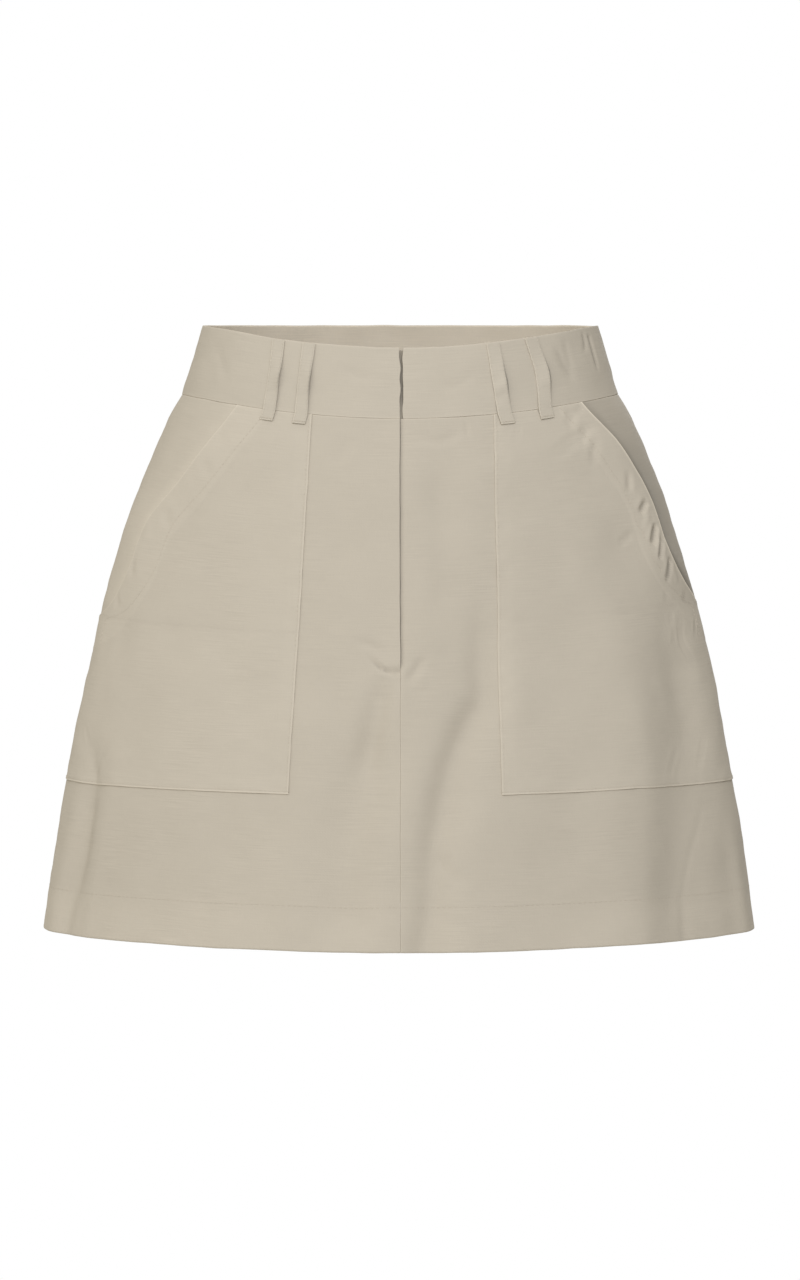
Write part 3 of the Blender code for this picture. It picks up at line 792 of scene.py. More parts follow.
class Sheet:
    """A piece of cloth: the middle of its wall as a grid of points, with its wall and its tone, which holds
    painted light and shade as well as the cloth's own lighter parts.
    """

    def __init__(self, middle, wall, across_start=None):
        self.middle = middle
        self.wall = wall
        # Painted light on the inner face: how much lighter it is than the outer face
        self.inner_painted_light = 1.0
        self.tone = np.ones(middle.shape[:-1])
        along = np.gradient(middle, axis=1)
        down = np.gradient(middle, axis=0)
        self.along = unit(along)
        self.down = unit(down)
        self.outward = unit(np.cross(down, along))
        across = distance_in(middle.swapaxes(0, 1)).T
        if across_start is not None:
            across += across_start[:, None]
        rows = np.linalg.norm(np.diff(middle, axis=0), axis=-1).mean(1)
        length = np.concatenate(((0.0,), rows.cumsum()))
        self.uv = np.stack((across, np.broadcast_to(-length[:, None], across.shape)), -1)

    def paint_edge_highlights(self, *borders):
        """Paints highlights along its folded borders, where their edges catch the light."""
        for border in borders:
            tone = from_border(border, self.tone)
            away = distance_in(from_border(border, self.middle))
            tone += EDGE_HIGHLIGHT * np.exp(-(away / EDGE_HIGHLIGHT_REACH) ** 2)

    @property
    def outer(self):
        return self.middle + self.outward * (self.wall / 2)

    def flat_size(self):
        """Width, length and area of the cut piece laid flat."""
        width, length = np.ptp(self.uv.reshape(-1, 2), axis=0)
        edges = np.diff(self.middle, axis=1)[:-1], np.diff(self.middle, axis=0)[:, :-1]
        area = np.linalg.norm(np.cross(*edges), axis=-1).sum()
        return float(width), float(length), float(min(area, width * length))


def arc_from(form, origin, angle, drop):
    """Signed length along the form from an angle to each row's first column."""
    samples = 40
    share = np.linspace(0.0, 1.0, samples)
    turns = origin + (angle[:, None] - origin) * share
    points = form.points(turns, np.broadcast_to(drop[:, None], turns.shape))
    length = np.linalg.norm(np.diff(points, axis=1), axis=-1).sum(1)
    return length * np.sign(angle - origin)


def hand_made(points):
    """Points moved a little, smoothly through space, so that no seam or edge is quite straight."""
    amount = bpy.context.scene.skort_shape.hand_made
    sway = [wobble(points, SWAY_SIZE, seed) + SMALL_SWAY * wobble(points, SWAY_SIZE / 4, seed + 9)
            for seed in (81, 82, 83)]
    return points + amount * np.stack(sway, -1)


def sheet_on(form, angle, drop, lift, wall, origin):
    """Sheet at a lift above a form."""
    middle = form.points(angle, drop) + form.normals(angle, drop) * lift[..., None]
    return Sheet(hand_made(middle), wall, arc_from(form, origin, angle[:, 0], drop[:, 0]))


def border_walk(rows, columns):
    """Indices of a grid's border, down its first column, along its last row and back."""
    down = [(row, 0) for row in range(rows)]
    right = [(rows - 1, column) for column in range(1, columns)]
    up = [(row, columns - 1) for row in range(rows - 2, -1, -1)]
    left = [(0, column) for column in range(columns - 2, 0, -1)]
    return np.array(down + right + up + left)


def rim_directions(sheet, walk):
    """Unit vectors that point away from the cloth at its border."""
    rows, columns = sheet.middle.shape[:2]
    row, column = walk[:, 0], walk[:, 1]
    away = np.zeros((len(walk), 3))
    away -= sheet.along[row, column] * (column == 0)[:, None]
    away += sheet.along[row, column] * (column == columns - 1)[:, None]
    away -= sheet.down[row, column] * (row == 0)[:, None]
    away += sheet.down[row, column] * (row == rows - 1)[:, None]
    return unit(away)


def shell(name, sheet, material):
    """Closed shell of a sheet, with a round rim."""
    rows, columns = sheet.middle.shape[:2]
    count = rows * columns
    half = sheet.wall / 2
    walk = border_walk(rows, columns)
    away = rim_directions(sheet, walk)
    border = sheet.middle[walk[:, 0], walk[:, 1]]
    outward = sheet.outward[walk[:, 0], walk[:, 1]]
    layers = [sheet.outer.reshape(-1, 3), (sheet.middle - sheet.outward * half).reshape(-1, 3)]
    rings = [walk[:, 0] * columns + walk[:, 1]]
    for step in range(1, RIM_STEPS):
        turn = math.pi * step / RIM_STEPS
        layers.append(border + outward * (math.cos(turn) * half) + away * (math.sin(turn) * RIM))
        rings.append(2 * count + (step - 1) * len(walk) + np.arange(len(walk)))
    rings.append(rings[0] + count)
    corner = (np.arange(rows - 1)[:, None] * columns + np.arange(columns - 1)).ravel()
    quad = np.stack((corner, corner + columns, corner + columns + 1, corner + 1), 1)
    faces = [quad, quad[:, ::-1] + count]
    for near, far in zip(rings, rings[1:]):
        faces.append(np.stack((np.roll(near, -1), near, far, np.roll(far, -1)), 1))
    mesh = bpy.data.meshes.new(name)
    mesh.from_pydata(np.concatenate(layers), [], np.concatenate(faces))
    flat = sheet.uv.reshape(-1, 2)
    border_uv = sheet.uv[walk[:, 0], walk[:, 1]]
    uv = np.concatenate([flat, flat] + [border_uv] * (RIM_STEPS - 1))
    tone = sheet.tone.ravel()
    border_tone = sheet.tone[walk[:, 0], walk[:, 1]]
    # The inner face is lightened by its painted light
    tones = np.concatenate([tone, tone * sheet.inner_painted_light] + [border_tone] * (RIM_STEPS - 1))
    corners = np.empty(len(mesh.loops), np.int32)
    mesh.loops.foreach_get("vertex_index", corners)
    layer = mesh.uv_layers.new(name=CLOTH_UV)
    layer.data.foreach_set("uv", uv[corners].astype(np.float32).ravel())
    attribute = mesh.attributes.new(TONE, "FLOAT", "POINT")
    attribute.data.foreach_set("value", tones.astype(np.float32))
    mesh.shade_smooth()
    mesh.materials.append(material)
    piece = bpy.data.objects.new(name, mesh)
    bpy.context.scene.collection.objects.link(piece)
    return piece


def declare_cloth(piece, sheet, node, stitches):
    """Puts a finished piece of cloth and its stitches in the place of its CAD node."""
    for item in (piece, *stitches):
        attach(item, "root")
    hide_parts(node)
    width, length, area = sheet.flat_size()


# ---------------------------------------------------------------- materials


class NodeBuilder:
    """Adds nodes to a tree and joins them."""

    def __init__(self, tree):
        self.tree = tree

    def feed(self, node, inputs):
        """Gives a node its inputs, as values or other nodes' sockets."""
        for socket, value in inputs.items():
            if isinstance(value, bpy.types.NodeSocket):
                self.tree.links.new(value, node.inputs[socket])
            else:
                node.inputs[socket].default_value = value

    def add(self, kind, inputs=None, **settings):
        """Node of a kind with its settings and inputs."""
        node = self.tree.nodes.new(kind)
        for setting, value in settings.items():
            setattr(node, setting, value)
        self.feed(node, inputs or {})
        return node

    def math(self, operation, first, second=0.0, third=0.0):
        """Result of a sum on numbers or sockets."""
        return self.add("ShaderNodeMath", {0: first, 1: second, 2: third},
                        operation=operation).outputs[0]


class MaterialBuilder(NodeBuilder):
    """Adds nodes to a new material."""

    def __init__(self, name):
        self.material = bpy.data.materials.new(name)
        self.material.use_nodes = True
        super().__init__(self.material.node_tree)
        self.shader = self.tree.nodes["Principled BSDF"]

    def streaks(self, place, across, down, detail):
        """Noise drawn out to a length across and down, in metres, between 0 and 1."""
        scaled = self.add("ShaderNodeMapping", {0: place, "Scale": (1 / across, 1 / down, 1.0)})
        noise = self.add("ShaderNodeTexNoise", {0: scaled.outputs[0], "Scale": 1.0, "Detail": detail})
        return noise.outputs[0]

    def tinted(self, colour, shade):
        """Colour made lighter or darker by a socket."""
        return self.add("ShaderNodeVectorMath", {0: tuple(colour), "Scale": shade},
                        operation="SCALE").outputs[0]

    def finish(self, inputs):
        """Gives the shader its inputs, and hands over the material."""
        self.feed(self.shader, inputs)
        return self.material


# Length across and along of the thick threads, of single threads, and of the soft patches
SLUB_LENGTH = 0.024
SLUB_WIDTH = 0.0009
STREAK_LENGTH = 0.007
STREAK_WIDTH = 0.00045
PATCH_SIZE = 0.030
SLUB_SPREAD = 0.045
# About what the threads' noise comes to on average, taken off so that the cloth keeps its own colour
THREADS_MEAN = 1.05


def cloth_material(name, colour):
    """Matt plain weave with slubs along the weft and soft patches."""
    settings = bpy.context.scene.skort_cloth
    make = MaterialBuilder(name)
    place = make.add("ShaderNodeUVMap", uv_map=CLOTH_UV).outputs[0]
    slub = make.streaks(place, SLUB_LENGTH, SLUB_WIDTH, 2.0)
    weft = make.streaks(place, STREAK_LENGTH, STREAK_WIDTH, 1.0)
    warp = make.streaks(place, STREAK_WIDTH, STREAK_LENGTH, 1.0)
    patch = make.streaks(place, PATCH_SIZE, PATCH_SIZE, 3.0)
    spread = make.math("MULTIPLY", make.streaks(place, SLUB_SPREAD, SLUB_SPREAD, 1.0), 2.0)
    spread = make.math("POWER", spread, 2.0)
    slub = make.math("MULTIPLY_ADD", make.math("SUBTRACT", slub, 0.5), spread, 0.5)
    threads = make.math("MULTIPLY_ADD", warp, 0.5, make.math("MULTIPLY_ADD", weft, 0.5, slub))
    base = 1 - THREADS_MEAN * settings.slub_contrast - settings.mottle / 2
    contrast = make.math("MULTIPLY_ADD", threads, settings.slub_contrast, base)
    contrast = make.math("MULTIPLY_ADD", patch, settings.mottle, contrast)
    # The tone attribute lightens or darkens the cloth: its own lighter facings and hems, and painted light
    # and shade
    tone = make.add("ShaderNodeAttribute", attribute_name=TONE).outputs["Fac"]
    parts = make.add("ShaderNodeSeparateXYZ", {0: place})
    crossing = [
        make.math("SINE", make.math("MULTIPLY", parts.outputs[axis], math.pi / settings.thread_spacing))
        for axis in (0, 1)
    ]
    relief = make.math("MULTIPLY_ADD", make.math("MULTIPLY", *crossing), 0.5, threads)
    bump = make.add("ShaderNodeBump", {"Height": relief, "Distance": settings.weave_relief, "Strength": 1.0})
    return make.finish({
        "Base Color": make.tinted(colour, make.math("MULTIPLY", contrast, tone)),
        "Roughness": settings.roughness,
        "Specular IOR Level": 0.25,
        "Sheen Weight": settings.sheen,
        "Sheen Roughness": 0.5,
        "Normal": bump.outputs[0],
    })


def thread_material(colour):
    """Sewing thread, a little lighter than its cloth, with the twist of its plies."""
    make = MaterialBuilder("sewing_thread")
    place = make.add("ShaderNodeTexCoord").outputs["Object"]
    plies = make.add("ShaderNodeTexWave", {0: place, "Scale": 900.0, "Distortion": 2.0},
                     bands_direction="DIAGONAL").outputs["Fac"]
    return make.finish({
        "Base Color": make.tinted(colour, make.math("MULTIPLY_ADD", plies, 0.08, 0.99)),
        "Roughness": 0.7,
        "Specular IOR Level": 0.3,
    })


# ---------------------------------------------------------------- sewing

# A stitch's least and greatest share of its stated size, and how far a line of them stands off the
# cloth, as a share of the thread
STITCH_SHORTEST = 0.88
STITCH_LONGEST = 1.08
STITCH_PROUD = 0.15


def stitch_tree():
    """Geometry nodes that lay stitches along every line of a mesh."""
    found = bpy.data.node_groups.get("stitches")
    if found:
        return found
    tree = bpy.data.node_groups.new("stitches", "GeometryNodeTree")
    face = tree.interface
    face.new_socket("Geometry", in_out="INPUT", socket_type="NodeSocketGeometry")
    for name in ("Length", "Pitch", "Thickness"):
        socket = face.new_socket(name, in_out="INPUT", socket_type="NodeSocketFloat")
        socket.subtype = "DISTANCE"
    face.new_socket("Thread", in_out="INPUT", socket_type="NodeSocketMaterial")
    face.new_socket("Geometry", in_out="OUTPUT", socket_type="NodeSocketGeometry")

    make = NodeBuilder(tree)
    given = make.add("NodeGroupInput").outputs
    curve = make.add("GeometryNodeMeshToCurve", {"Mesh": given["Geometry"]})
    spread = make.add("GeometryNodeResampleCurve", {
        "Curve": curve.outputs["Curve"], "Length": given["Pitch"]}, mode="LENGTH")
    facing = make.add("GeometryNodeInputNamedAttribute", {"Name": FACING}, data_type="FLOAT_VECTOR")
    turn = make.add("FunctionNodeAxesToRotation", {
        "Primary Axis": make.add("GeometryNodeInputTangent").outputs[0],
        "Secondary Axis": facing.outputs["Attribute"]}, primary_axis="X", secondary_axis="Z")
    capsule = make.add("GeometryNodeMeshUVSphere", {"Segments": 6, "Rings": 5, "Radius": 0.5})
    size = make.add("ShaderNodeCombineXYZ", {
        "X": given["Length"], "Y": given["Thickness"], "Z": given["Thickness"]})
    shaped = make.add("GeometryNodeTransform", {
        "Geometry": capsule.outputs["Mesh"], "Scale": size.outputs[0]})
    vary = make.add("FunctionNodeRandomValue", {
        2: STITCH_SHORTEST, 3: STITCH_LONGEST, "Seed": 3}, data_type="FLOAT")
    laid = make.add("GeometryNodeInstanceOnPoints", {
        "Points": spread.outputs["Curve"], "Instance": shaped.outputs["Geometry"],
        "Rotation": turn.outputs["Rotation"], "Scale": vary.outputs[1]})
    real = make.add("GeometryNodeRealizeInstances", {"Geometry": laid.outputs["Instances"]})
    coloured = make.add("GeometryNodeSetMaterial", {
        "Geometry": real.outputs["Geometry"], "Material": given["Thread"]})
    make.add("NodeGroupOutput", {"Geometry": coloured.outputs["Geometry"]})
    return tree


def sew(name, lines, thread, length=None, pitch=None):
    """Stitches along lines, each given as points on the cloth and the ways that they face."""
    settings = bpy.context.scene.skort_sewing
    points = np.concatenate([line for line, _ in lines])
    facing = np.concatenate([out for _, out in lines])
    edges = []
    first = 0
    for line, _ in lines:
        edges += [(first + step, first + step + 1) for step in range(len(line) - 1)]
        first += len(line)
    path = bpy.data.meshes.new(name + "_path")
    path.from_pydata(points, edges, [])
    path.attributes.new(FACING, "FLOAT_VECTOR", "POINT").data.foreach_set(
        "vector", facing.astype(np.float32).ravel())
    guide = bpy.data.objects.new(name + "_guide", path)
    bpy.context.scene.collection.objects.link(guide)
    tree = stitch_tree()
    modifier = guide.modifiers.new("stitches", "NODES")
    modifier.node_group = tree
    values = {
        "Length": length or settings.stitch_length,
        "Pitch": pitch or settings.stitch_pitch,
        "Thickness": settings.thread,
        "Thread": thread,
    }
    for item in tree.interface.items_tree:
        if item.in_out == "INPUT" and item.name in values:
            modifier[item.identifier] = values[item.name]
    depsgraph = bpy.context.evaluated_depsgraph_get()
    mesh = bpy.data.meshes.new_from_object(guide.evaluated_get(depsgraph))
    bpy.data.objects.remove(guide, do_unlink=True)
    mesh.name = name
    mesh.shade_smooth()
    if not mesh.polygons:
        raise RuntimeError(f"no stitches were made for {name}")
    piece = bpy.data.objects.new(name, mesh)
    bpy.context.scene.collection.objects.link(piece)
    return piece


def line_on(sheet, border, distance, first=0.0, last=1.0, rows=slice(None)):
    """Line on a sheet's outer face at a distance from a border, over a share of its length."""
    points = from_border(border, sheet.outer[rows])
    facing = from_border(border, sheet.outward[rows])
    away = distance_in(points)
    low = np.clip((away < distance).sum(0) - 1, 0, len(away) - 2)
    column = np.arange(points.shape[1])
    share = ((distance - away[low, column]) / (away[low + 1, column] - away[low, column]))[:, None]
    line = points[low, column] * (1 - share) + points[low + 1, column] * share
    out = unit(facing[low, column] * (1 - share) + facing[low + 1, column] * share)
    keep = slice(int(first * len(line)), max(2, int(round(last * len(line)))))
    return line[keep] + out[keep] * (bpy.context.scene.skort_sewing.thread * STITCH_PROUD), out[keep]


# ---------------------------------------------------------------- pockets' places


def pocket_bottom_drop(angle):
    """Drop of the pockets' straight bottom edge."""
    dip = front_dip(angle)
    return (-POCKET_BOTTOM - dip) / (1 - dip / SKIRT_LENGTH)


class PocketPlace:
    """Edges of a pocket, as angles at each drop on the wearer's left side."""

    SAMPLES = 260
    # The opening's line begins this far above the level of the side's waist seam, and the inner edge's
    # line goes on this far below the bottom
    OPENING_ABOVE = 0.002
    INNER_BELOW = 0.004
    # A drop close to the bottom
    NEAR_BOTTOM = 0.25

    def __init__(self, cut):
        self.cut = cut
        heights = np.linspace(0.0, POCKET_BOTTOM - self.INNER_BELOW, self.SAMPLES)
        share = (heights + FRONT_DIP) / (POCKET_BOTTOM + FRONT_DIP)
        across = cut.inner_top + (cut.inner_bottom - cut.inner_top) * share
        self.inner = SKIRT.place(across, heights)
        rising = SmoothTable([(-height, across) for across, height in cut.opening])
        lowest = cut.opening[-1][1]
        heights = np.linspace(self.OPENING_ABOVE, lowest, self.SAMPLES)
        across = rising(-heights)[:, 0]
        self.opening = SKIRT.place(across, heights)
        self.opening_end = float(self.opening[1][-1])

    def inner_angle(self, drop):
        """Angle of the inner edge."""
        return np.interp(drop, self.inner[1], self.inner[0])

    def outer_angle(self, drop):
        """Angle of the opening edge, and of the side seam below it."""
        open_angle = np.interp(drop, self.opening[1], self.opening[0])
        return np.where(drop > self.opening_end, QUARTER_TURN, np.minimum(open_angle, QUARTER_TURN))

    def line(self, edge):
        """Dense line in space along an edge: inner, opening or bottom."""
        if edge == "bottom":
            angle = np.linspace(float(self.inner_angle(self.NEAR_BOTTOM)), QUARTER_TURN, self.SAMPLES)
            drop = pocket_bottom_drop(angle)
        else:
            angle, drop = getattr(self, edge)
            keep = (drop > 0) & (drop < pocket_bottom_drop(angle))
            angle, drop = angle[keep], drop[keep]
        return SKIRT.points(angle * self.cut.side, drop)

    def to_opening(self, points):
        """Distance of each point from the opening."""
        return distance_to(self.line("opening"), points)

    def to_sewn_edge(self, points):
        """Distance of each point from the inner edge or the bottom, which are sewn down."""
        return np.minimum(distance_to(self.line("inner"), points), distance_to(self.line("bottom"), points))

    def gape_share(self, drop):
        """Share of the gape at each drop, between the opening's two fixed ends."""
        along = drop / self.opening_end
        return smoothstep(0.0, GAPE_GROWN, along) * smoothstep(1.0, GAPE_SHRINKS, along)

    def inside(self, angle, drop):
        """Whether a place lies under the pocket."""
        turn = angle * self.cut.side
        return ((turn > self.inner_angle(drop)) & (turn < self.outer_angle(drop))
                & (drop < pocket_bottom_drop(turn)))


PLACES = {cut.name: PocketPlace(cut) for cut in POCKETS}


def pocket_sink(angle, drop, points):
    """How far a pocket and the front under it are drawn in where the seams catch both."""
    sink = np.zeros(angle.shape)
    for place in PLACES.values():
        free = smoothstep(*SEWN_SINK, place.to_sewn_edge(points))
        shut = smoothstep(*OPENING_SINK, place.to_opening(points))
        turn = angle * place.cut.side
        seam = np.abs(QUARTER_TURN - turn) * SKIRT.girth_rate(angle, drop)
        shut = np.maximum(shut, smoothstep(*SIDE_SINK, seam))
        drawn = 1 - (1 - np.exp(-drop / WAIST_SINK_REACH)) * (1 - np.exp(-seam / SIDE_SINK_REACH))
        sink += POCKET_PROUD * drawn * free * shut * place.inside(angle, drop)
    return sink


def opening_swell(angle, drop, points):
    """How far the cloth swells out along the openings, and falls off steeply towards the sides."""
    swell = np.zeros(angle.shape)
    for place in PLACES.values():
        cut = place.cut
        away = place.to_opening(points)
        turn = angle * cut.side
        reach = np.where(turn > place.outer_angle(drop), SWELL_BEYOND, GAPE_REACH)
        swell += cut.swell * np.exp(-(away / reach) ** 2) * place.gape_share(drop) * (turn > 0)
    return swell


def opening_painted_shade(angle, drop, points):
    """Painted shadow on the fronts beside the openings, under the pockets' raised edges, and painted light
    where a pocket's shade is below 0.
    """
    shade = np.zeros(angle.shape)
    for place in PLACES.values():
        cut = place.cut
        away = place.to_opening(points)
        along = drop / place.opening_end
        ends = SHADE_AT_WAIST + (1 - SHADE_AT_WAIST) * smoothstep(0.0, SHADE_FULL, along)
        ends = ends * smoothstep(SHADE_GONE, SHADE_FADES, along) * (angle * cut.side > 0)
        beside = np.exp(-(away / SHADE_REACH) ** 2) + EDGE_SHADE * np.exp(-(away / EDGE_SHADE_REACH) ** 2)
        shade += cut.shade * beside * ends
    return shade


def side_distance(form, angle, drop):
    """Distance along the cloth from the nearer side seam."""
    turn = np.abs((angle + QUARTER_TURN) % math.pi)
    return np.minimum(turn, math.pi - turn) * form.girth_rate(angle, drop)


def panel_relief(angle, drop, points, creases, crumples, seed, behind=False):
    """Lift of one side of the skirt, from folds, creases and unevenness."""
    shape = bpy.context.scene.skort_shape
    lift = -fold_depth(SKIRT, angle, drop)
    lift += crease_lift(SKIRT, points, creases, behind)
    lift += crumple_lift(points, crumples, behind)
    waves = shape.unevenness * wobble(points, PANEL_WAVE_SIZE, seed)
    lift += waves * smoothstep(0.0, PANEL_WAVES_GROW, drop)
    seam = np.exp(-side_distance(SKIRT, angle, drop) / SEAM_WAVE_REACH)
    return lift + shape.seam_pucker * seam * wobble(points, SEAM_WAVE_SIZE, 2)


def front_relief(angle, drop, points):
    """Lift of the front and of what lies on it."""
    lift = panel_relief(angle, drop, points, FRONT_CREASES, FRONT_CRUMPLES, 1)
    return lift + opening_swell(angle, drop, points) - pocket_sink(angle, drop, points)


def back_relief(angle, drop, points):
    """Lift of the back."""
    return panel_relief(angle, drop, points, BACK_CREASES, BACK_CRUMPLES, 5, behind=True)


def fly_share(drop):
    """1 along the fly and 0 below its end."""
    return 1 - smoothstep(*FLY_CLOSES, drop)


# ---------------------------------------------------------------- skirt

# Painted highlight on the pressed edges of the centre seam below the fly: how much lighter they are, and how
# far in
SEAM_LIGHT = 0.10
SEAM_LIGHT_REACH = 0.0004
# How much lighter the doubled hem is than the cloth above it, how much painted light is added to it towards
# the sides, the places across between which that grows, and how soft the hem's upper edge is
HEM_TONE = 0.015
HEM_SIDE_PAINTED_LIGHT = 0.035
HEM_SIDES = (0.05, 0.12)
HEM_SOFT = 0.012
HEM_STITCH_PITCH = 0.0036


def skirt_rows(rows):
    """Drops and depths of the rows of a skirt panel, round its hem and up inside it."""
    wall = SKIRT_WALL
    radius = (wall + HEM_CLEARANCE) / 2
    top = SEAM_CLEAR
    turn_drop = SKIRT_LENGTH - wall / 2 - radius
    outside = top + spaced(turn_drop - top, rows)
    turns = math.pi * np.arange(1, TURN_STEPS) / TURN_STEPS
    inside = turn_drop - spaced(bpy.context.scene.skort_shape.hem_height, TURNED_ROWS)
    drops = np.concatenate((outside, turn_drop + radius * np.sin(turns), inside))
    depths = np.concatenate((
        np.full(len(outside), wall / 2),
        wall / 2 + radius * (1 - np.cos(turns)),
        np.full(len(inside), wall / 2 + 2 * radius)))
    return drops, depths, len(outside)


def skirt_panel(start, end, grid, relief, origin):
    """Sheet of a skirt panel between two borders, given as angles at each drop."""
    drops, depths, outer_rows = skirt_rows(grid[1])
    angle, drop, points = grid_on(SKIRT, start(drops), end(drops), drops, grid[0])
    lift = relief(angle, drop, points) - depths[:, None]
    sheet = sheet_on(SKIRT, angle, drop, lift, SKIRT_WALL, origin)
    hem = SKIRT_LENGTH - bpy.context.scene.skort_shape.hem_height
    # The doubled hem is lighter, and painted light is added to it towards the sides
    hem_tone_and_painted_light = HEM_TONE + HEM_SIDE_PAINTED_LIGHT * smoothstep(*HEM_SIDES, np.abs(points[..., 0]))
    sheet.tone += hem_tone_and_painted_light * smoothstep(hem - HEM_SOFT, hem + HEM_SOFT, drop)
    if origin == 0.0:
        # Painted shadow beside the pockets' openings
        sheet.tone -= opening_painted_shade(angle, drop, points)
        # Painted highlight along the centre seam below the fly
        beside_seam = np.exp(-(angle * SKIRT.girth_rate(angle, drop) / SEAM_LIGHT_REACH) ** 2)
        sheet.tone += SEAM_LIGHT * beside_seam * (1 - fly_share(drop))
    # Painted highlight along the top edge
    sheet.paint_edge_highlights("top")
    return sheet, outer_rows


def at_seam(form, angle, inward):
    """Border at a seam: the angle at each drop, clear of the seam by half its gap and the rim."""
    def border(drop):
        return angle + inward * SEAM_CLEAR / form.girth_rate(np.full(drop.shape, angle), drop)

    return border


def front_left_start(drop):
    """Border of the wearer's left front: turned in behind the fly, and at the seam below it."""
    clear = SEAM_CLEAR + FLY_GAP * fly_share(drop)
    return clear / SKIRT.girth_rate(np.zeros(drop.shape), drop)


def front_left_relief(angle, drop, points):
    """Lift of the wearer's left front."""
    edge = front_left_start(drop)
    inside = (angle - edge) * SKIRT.girth_rate(angle, drop)
    turned = FLY_TURN_IN * np.exp(-(inside / FLY_TURN_IN_REACH) ** 2) * fly_share(drop)
    return front_relief(angle, drop, points) - turned


def front_right_relief(angle, drop, points):
    """Lift of the wearer's right front, which laps over at the fly."""
    inside = -angle * SKIRT.girth_rate(angle, drop)
    proud = FLY_PROUD * np.exp(-(inside / FLY_PROUD_REACH) ** 2) * fly_share(drop)
    return front_relief(angle, drop, points) + proud


class SKORT_OT_skirt(bpy.types.Operator):
    """Make the two fronts and the back of the skirt, with the turned-up hem and its stitches"""

    bl_idname = "skort.make_skirt"
    bl_label = "Make skirt"

    def execute(self, context):
        material = cloth_material("skirt_cloth", context.scene.skort_cloth.skirt)
        thread = thread_material(context.scene.skort_cloth.skirt)
        panels = (
            ("front_right", at_seam(SKIRT, -QUARTER_TURN, 1), at_seam(SKIRT, 0.0, -1),
             FRONT_GRID, front_right_relief, 0.0),
            ("front_left", front_left_start, at_seam(SKIRT, QUARTER_TURN, -1),
             FRONT_GRID, front_left_relief, 0.0),
            ("back", at_seam(SKIRT, QUARTER_TURN, 1), at_seam(SKIRT, 3 * QUARTER_TURN, -1),
             BACK_GRID, back_relief, BACK_MIDDLE),
        )
        hem = context.scene.skort_shape.hem_height
        for node, start, end, grid, relief, origin in panels:
            sheet, outer_rows = skirt_panel(start, end, grid, relief, origin)
            piece = shell(node + "_cloth", sheet, material)
            line = line_on(sheet, "bottom", hem, rows=slice(0, outer_rows))
            stitches = sew(node + "_hem_stitches", [line], thread, pitch=HEM_STITCH_PITCH)
            declare_cloth(piece, sheet, node, [stitches])
        return {"FINISHED"}


# ---------------------------------------------------------------- pockets


def pucker_shade(lift):
    """How much darker the cloth is in puckers of a lift, as little light reaches into them."""
    return np.clip(-PUCKER_SHADE * lift - PUCKER_SHADE_FREE, 0.0, PUCKER_SHADE_MOST)


def pocket_grid(place):
    """Angles and drops of a pocket's grid, found in rounds because its bottom edge is level."""
    side = place.cut.side
    length = -POCKET_BOTTOM - SEAM_CLEAR
    share = spaced(length, POCKET_GRID[1]) / length
    angle = np.full((len(share), POCKET_GRID[0] + 2 * len(EDGE_LINES) - 2), side * POCKET_FIRST_TURN)
    for _ in range(POCKET_ROUNDS):
        bottom = pocket_bottom_drop(angle) - RIM
        drop = SEAM_CLEAR + (bottom - SEAM_CLEAR) * share[:, None]
        first, last = drop[:, 0], drop[:, -1]
        inner_drop, outer_drop = (first, last) if side > 0 else (last, first)
        rate = SKIRT.girth_rate(place.inner_angle(inner_drop), inner_drop)
        inner = place.inner_angle(inner_drop) + RIM / rate
        rate = SKIRT.girth_rate(place.outer_angle(outer_drop), outer_drop)
        outer = place.outer_angle(outer_drop) - SEAM_CLEAR / rate
        start, end = (inner, outer) if side > 0 else (-outer, -inner)
        angle = columns_between(SKIRT, start, end, first, last, POCKET_GRID[0], side * POCKET_LEAN)
    return angle, drop


def pocket_sheet(place):
    """Sheet of a patch pocket."""
    cut = place.cut
    angle, drop = pocket_grid(place)
    points = SKIRT.points(angle, drop)
    to_opening = place.to_opening(points)
    to_edge = place.to_sewn_edge(points)
    gape = cut.gape * np.exp(-(to_opening / GAPE_REACH) ** 2) * place.gape_share(drop)
    facing = smoothstep(cut.facing, cut.facing - FACING_SOFT, to_opening)
    facing = facing * (drop < place.opening_end + FACING_BELOW)
    waves = bpy.context.scene.skort_shape.seam_pucker * np.exp(-to_edge / POCKET_EDGE_WAVE_REACH)
    waves = waves * wobble(points, POCKET_EDGE_WAVE_SIZE, 31 + cut.side)
    puckers = crease_lift(SKIRT, points, cut.creases) * smoothstep(PUCKER_FROM, PUCKER_TO, to_opening)
    proud = POCKET_CLEARANCE + gape + FACING_STEP * facing + waves + puckers
    lift = front_relief(angle, drop, points) + POCKET_WALL / 2 + np.maximum(proud, LEAST_CLEARANCE)
    sheet = sheet_on(SKIRT, angle, drop, lift, POCKET_WALL, 0.0)
    sheet.tone += cut.facing_tone * facing + FOLD_TONE * smoothstep(*FOLD_WIDTHS, to_edge)
    sheet.tone -= pucker_shade(puckers)
    # Painted highlight along the opening's edge
    sheet.tone += cut.worn * np.exp(-(to_opening / OPENING_HIGHLIGHT_REACH) ** 2)
    # Painted highlights along all its borders, twice as strong along the bottom edge as along the others
    sheet.paint_edge_highlights("top", "start", "end", "bottom", "bottom")
    return sheet


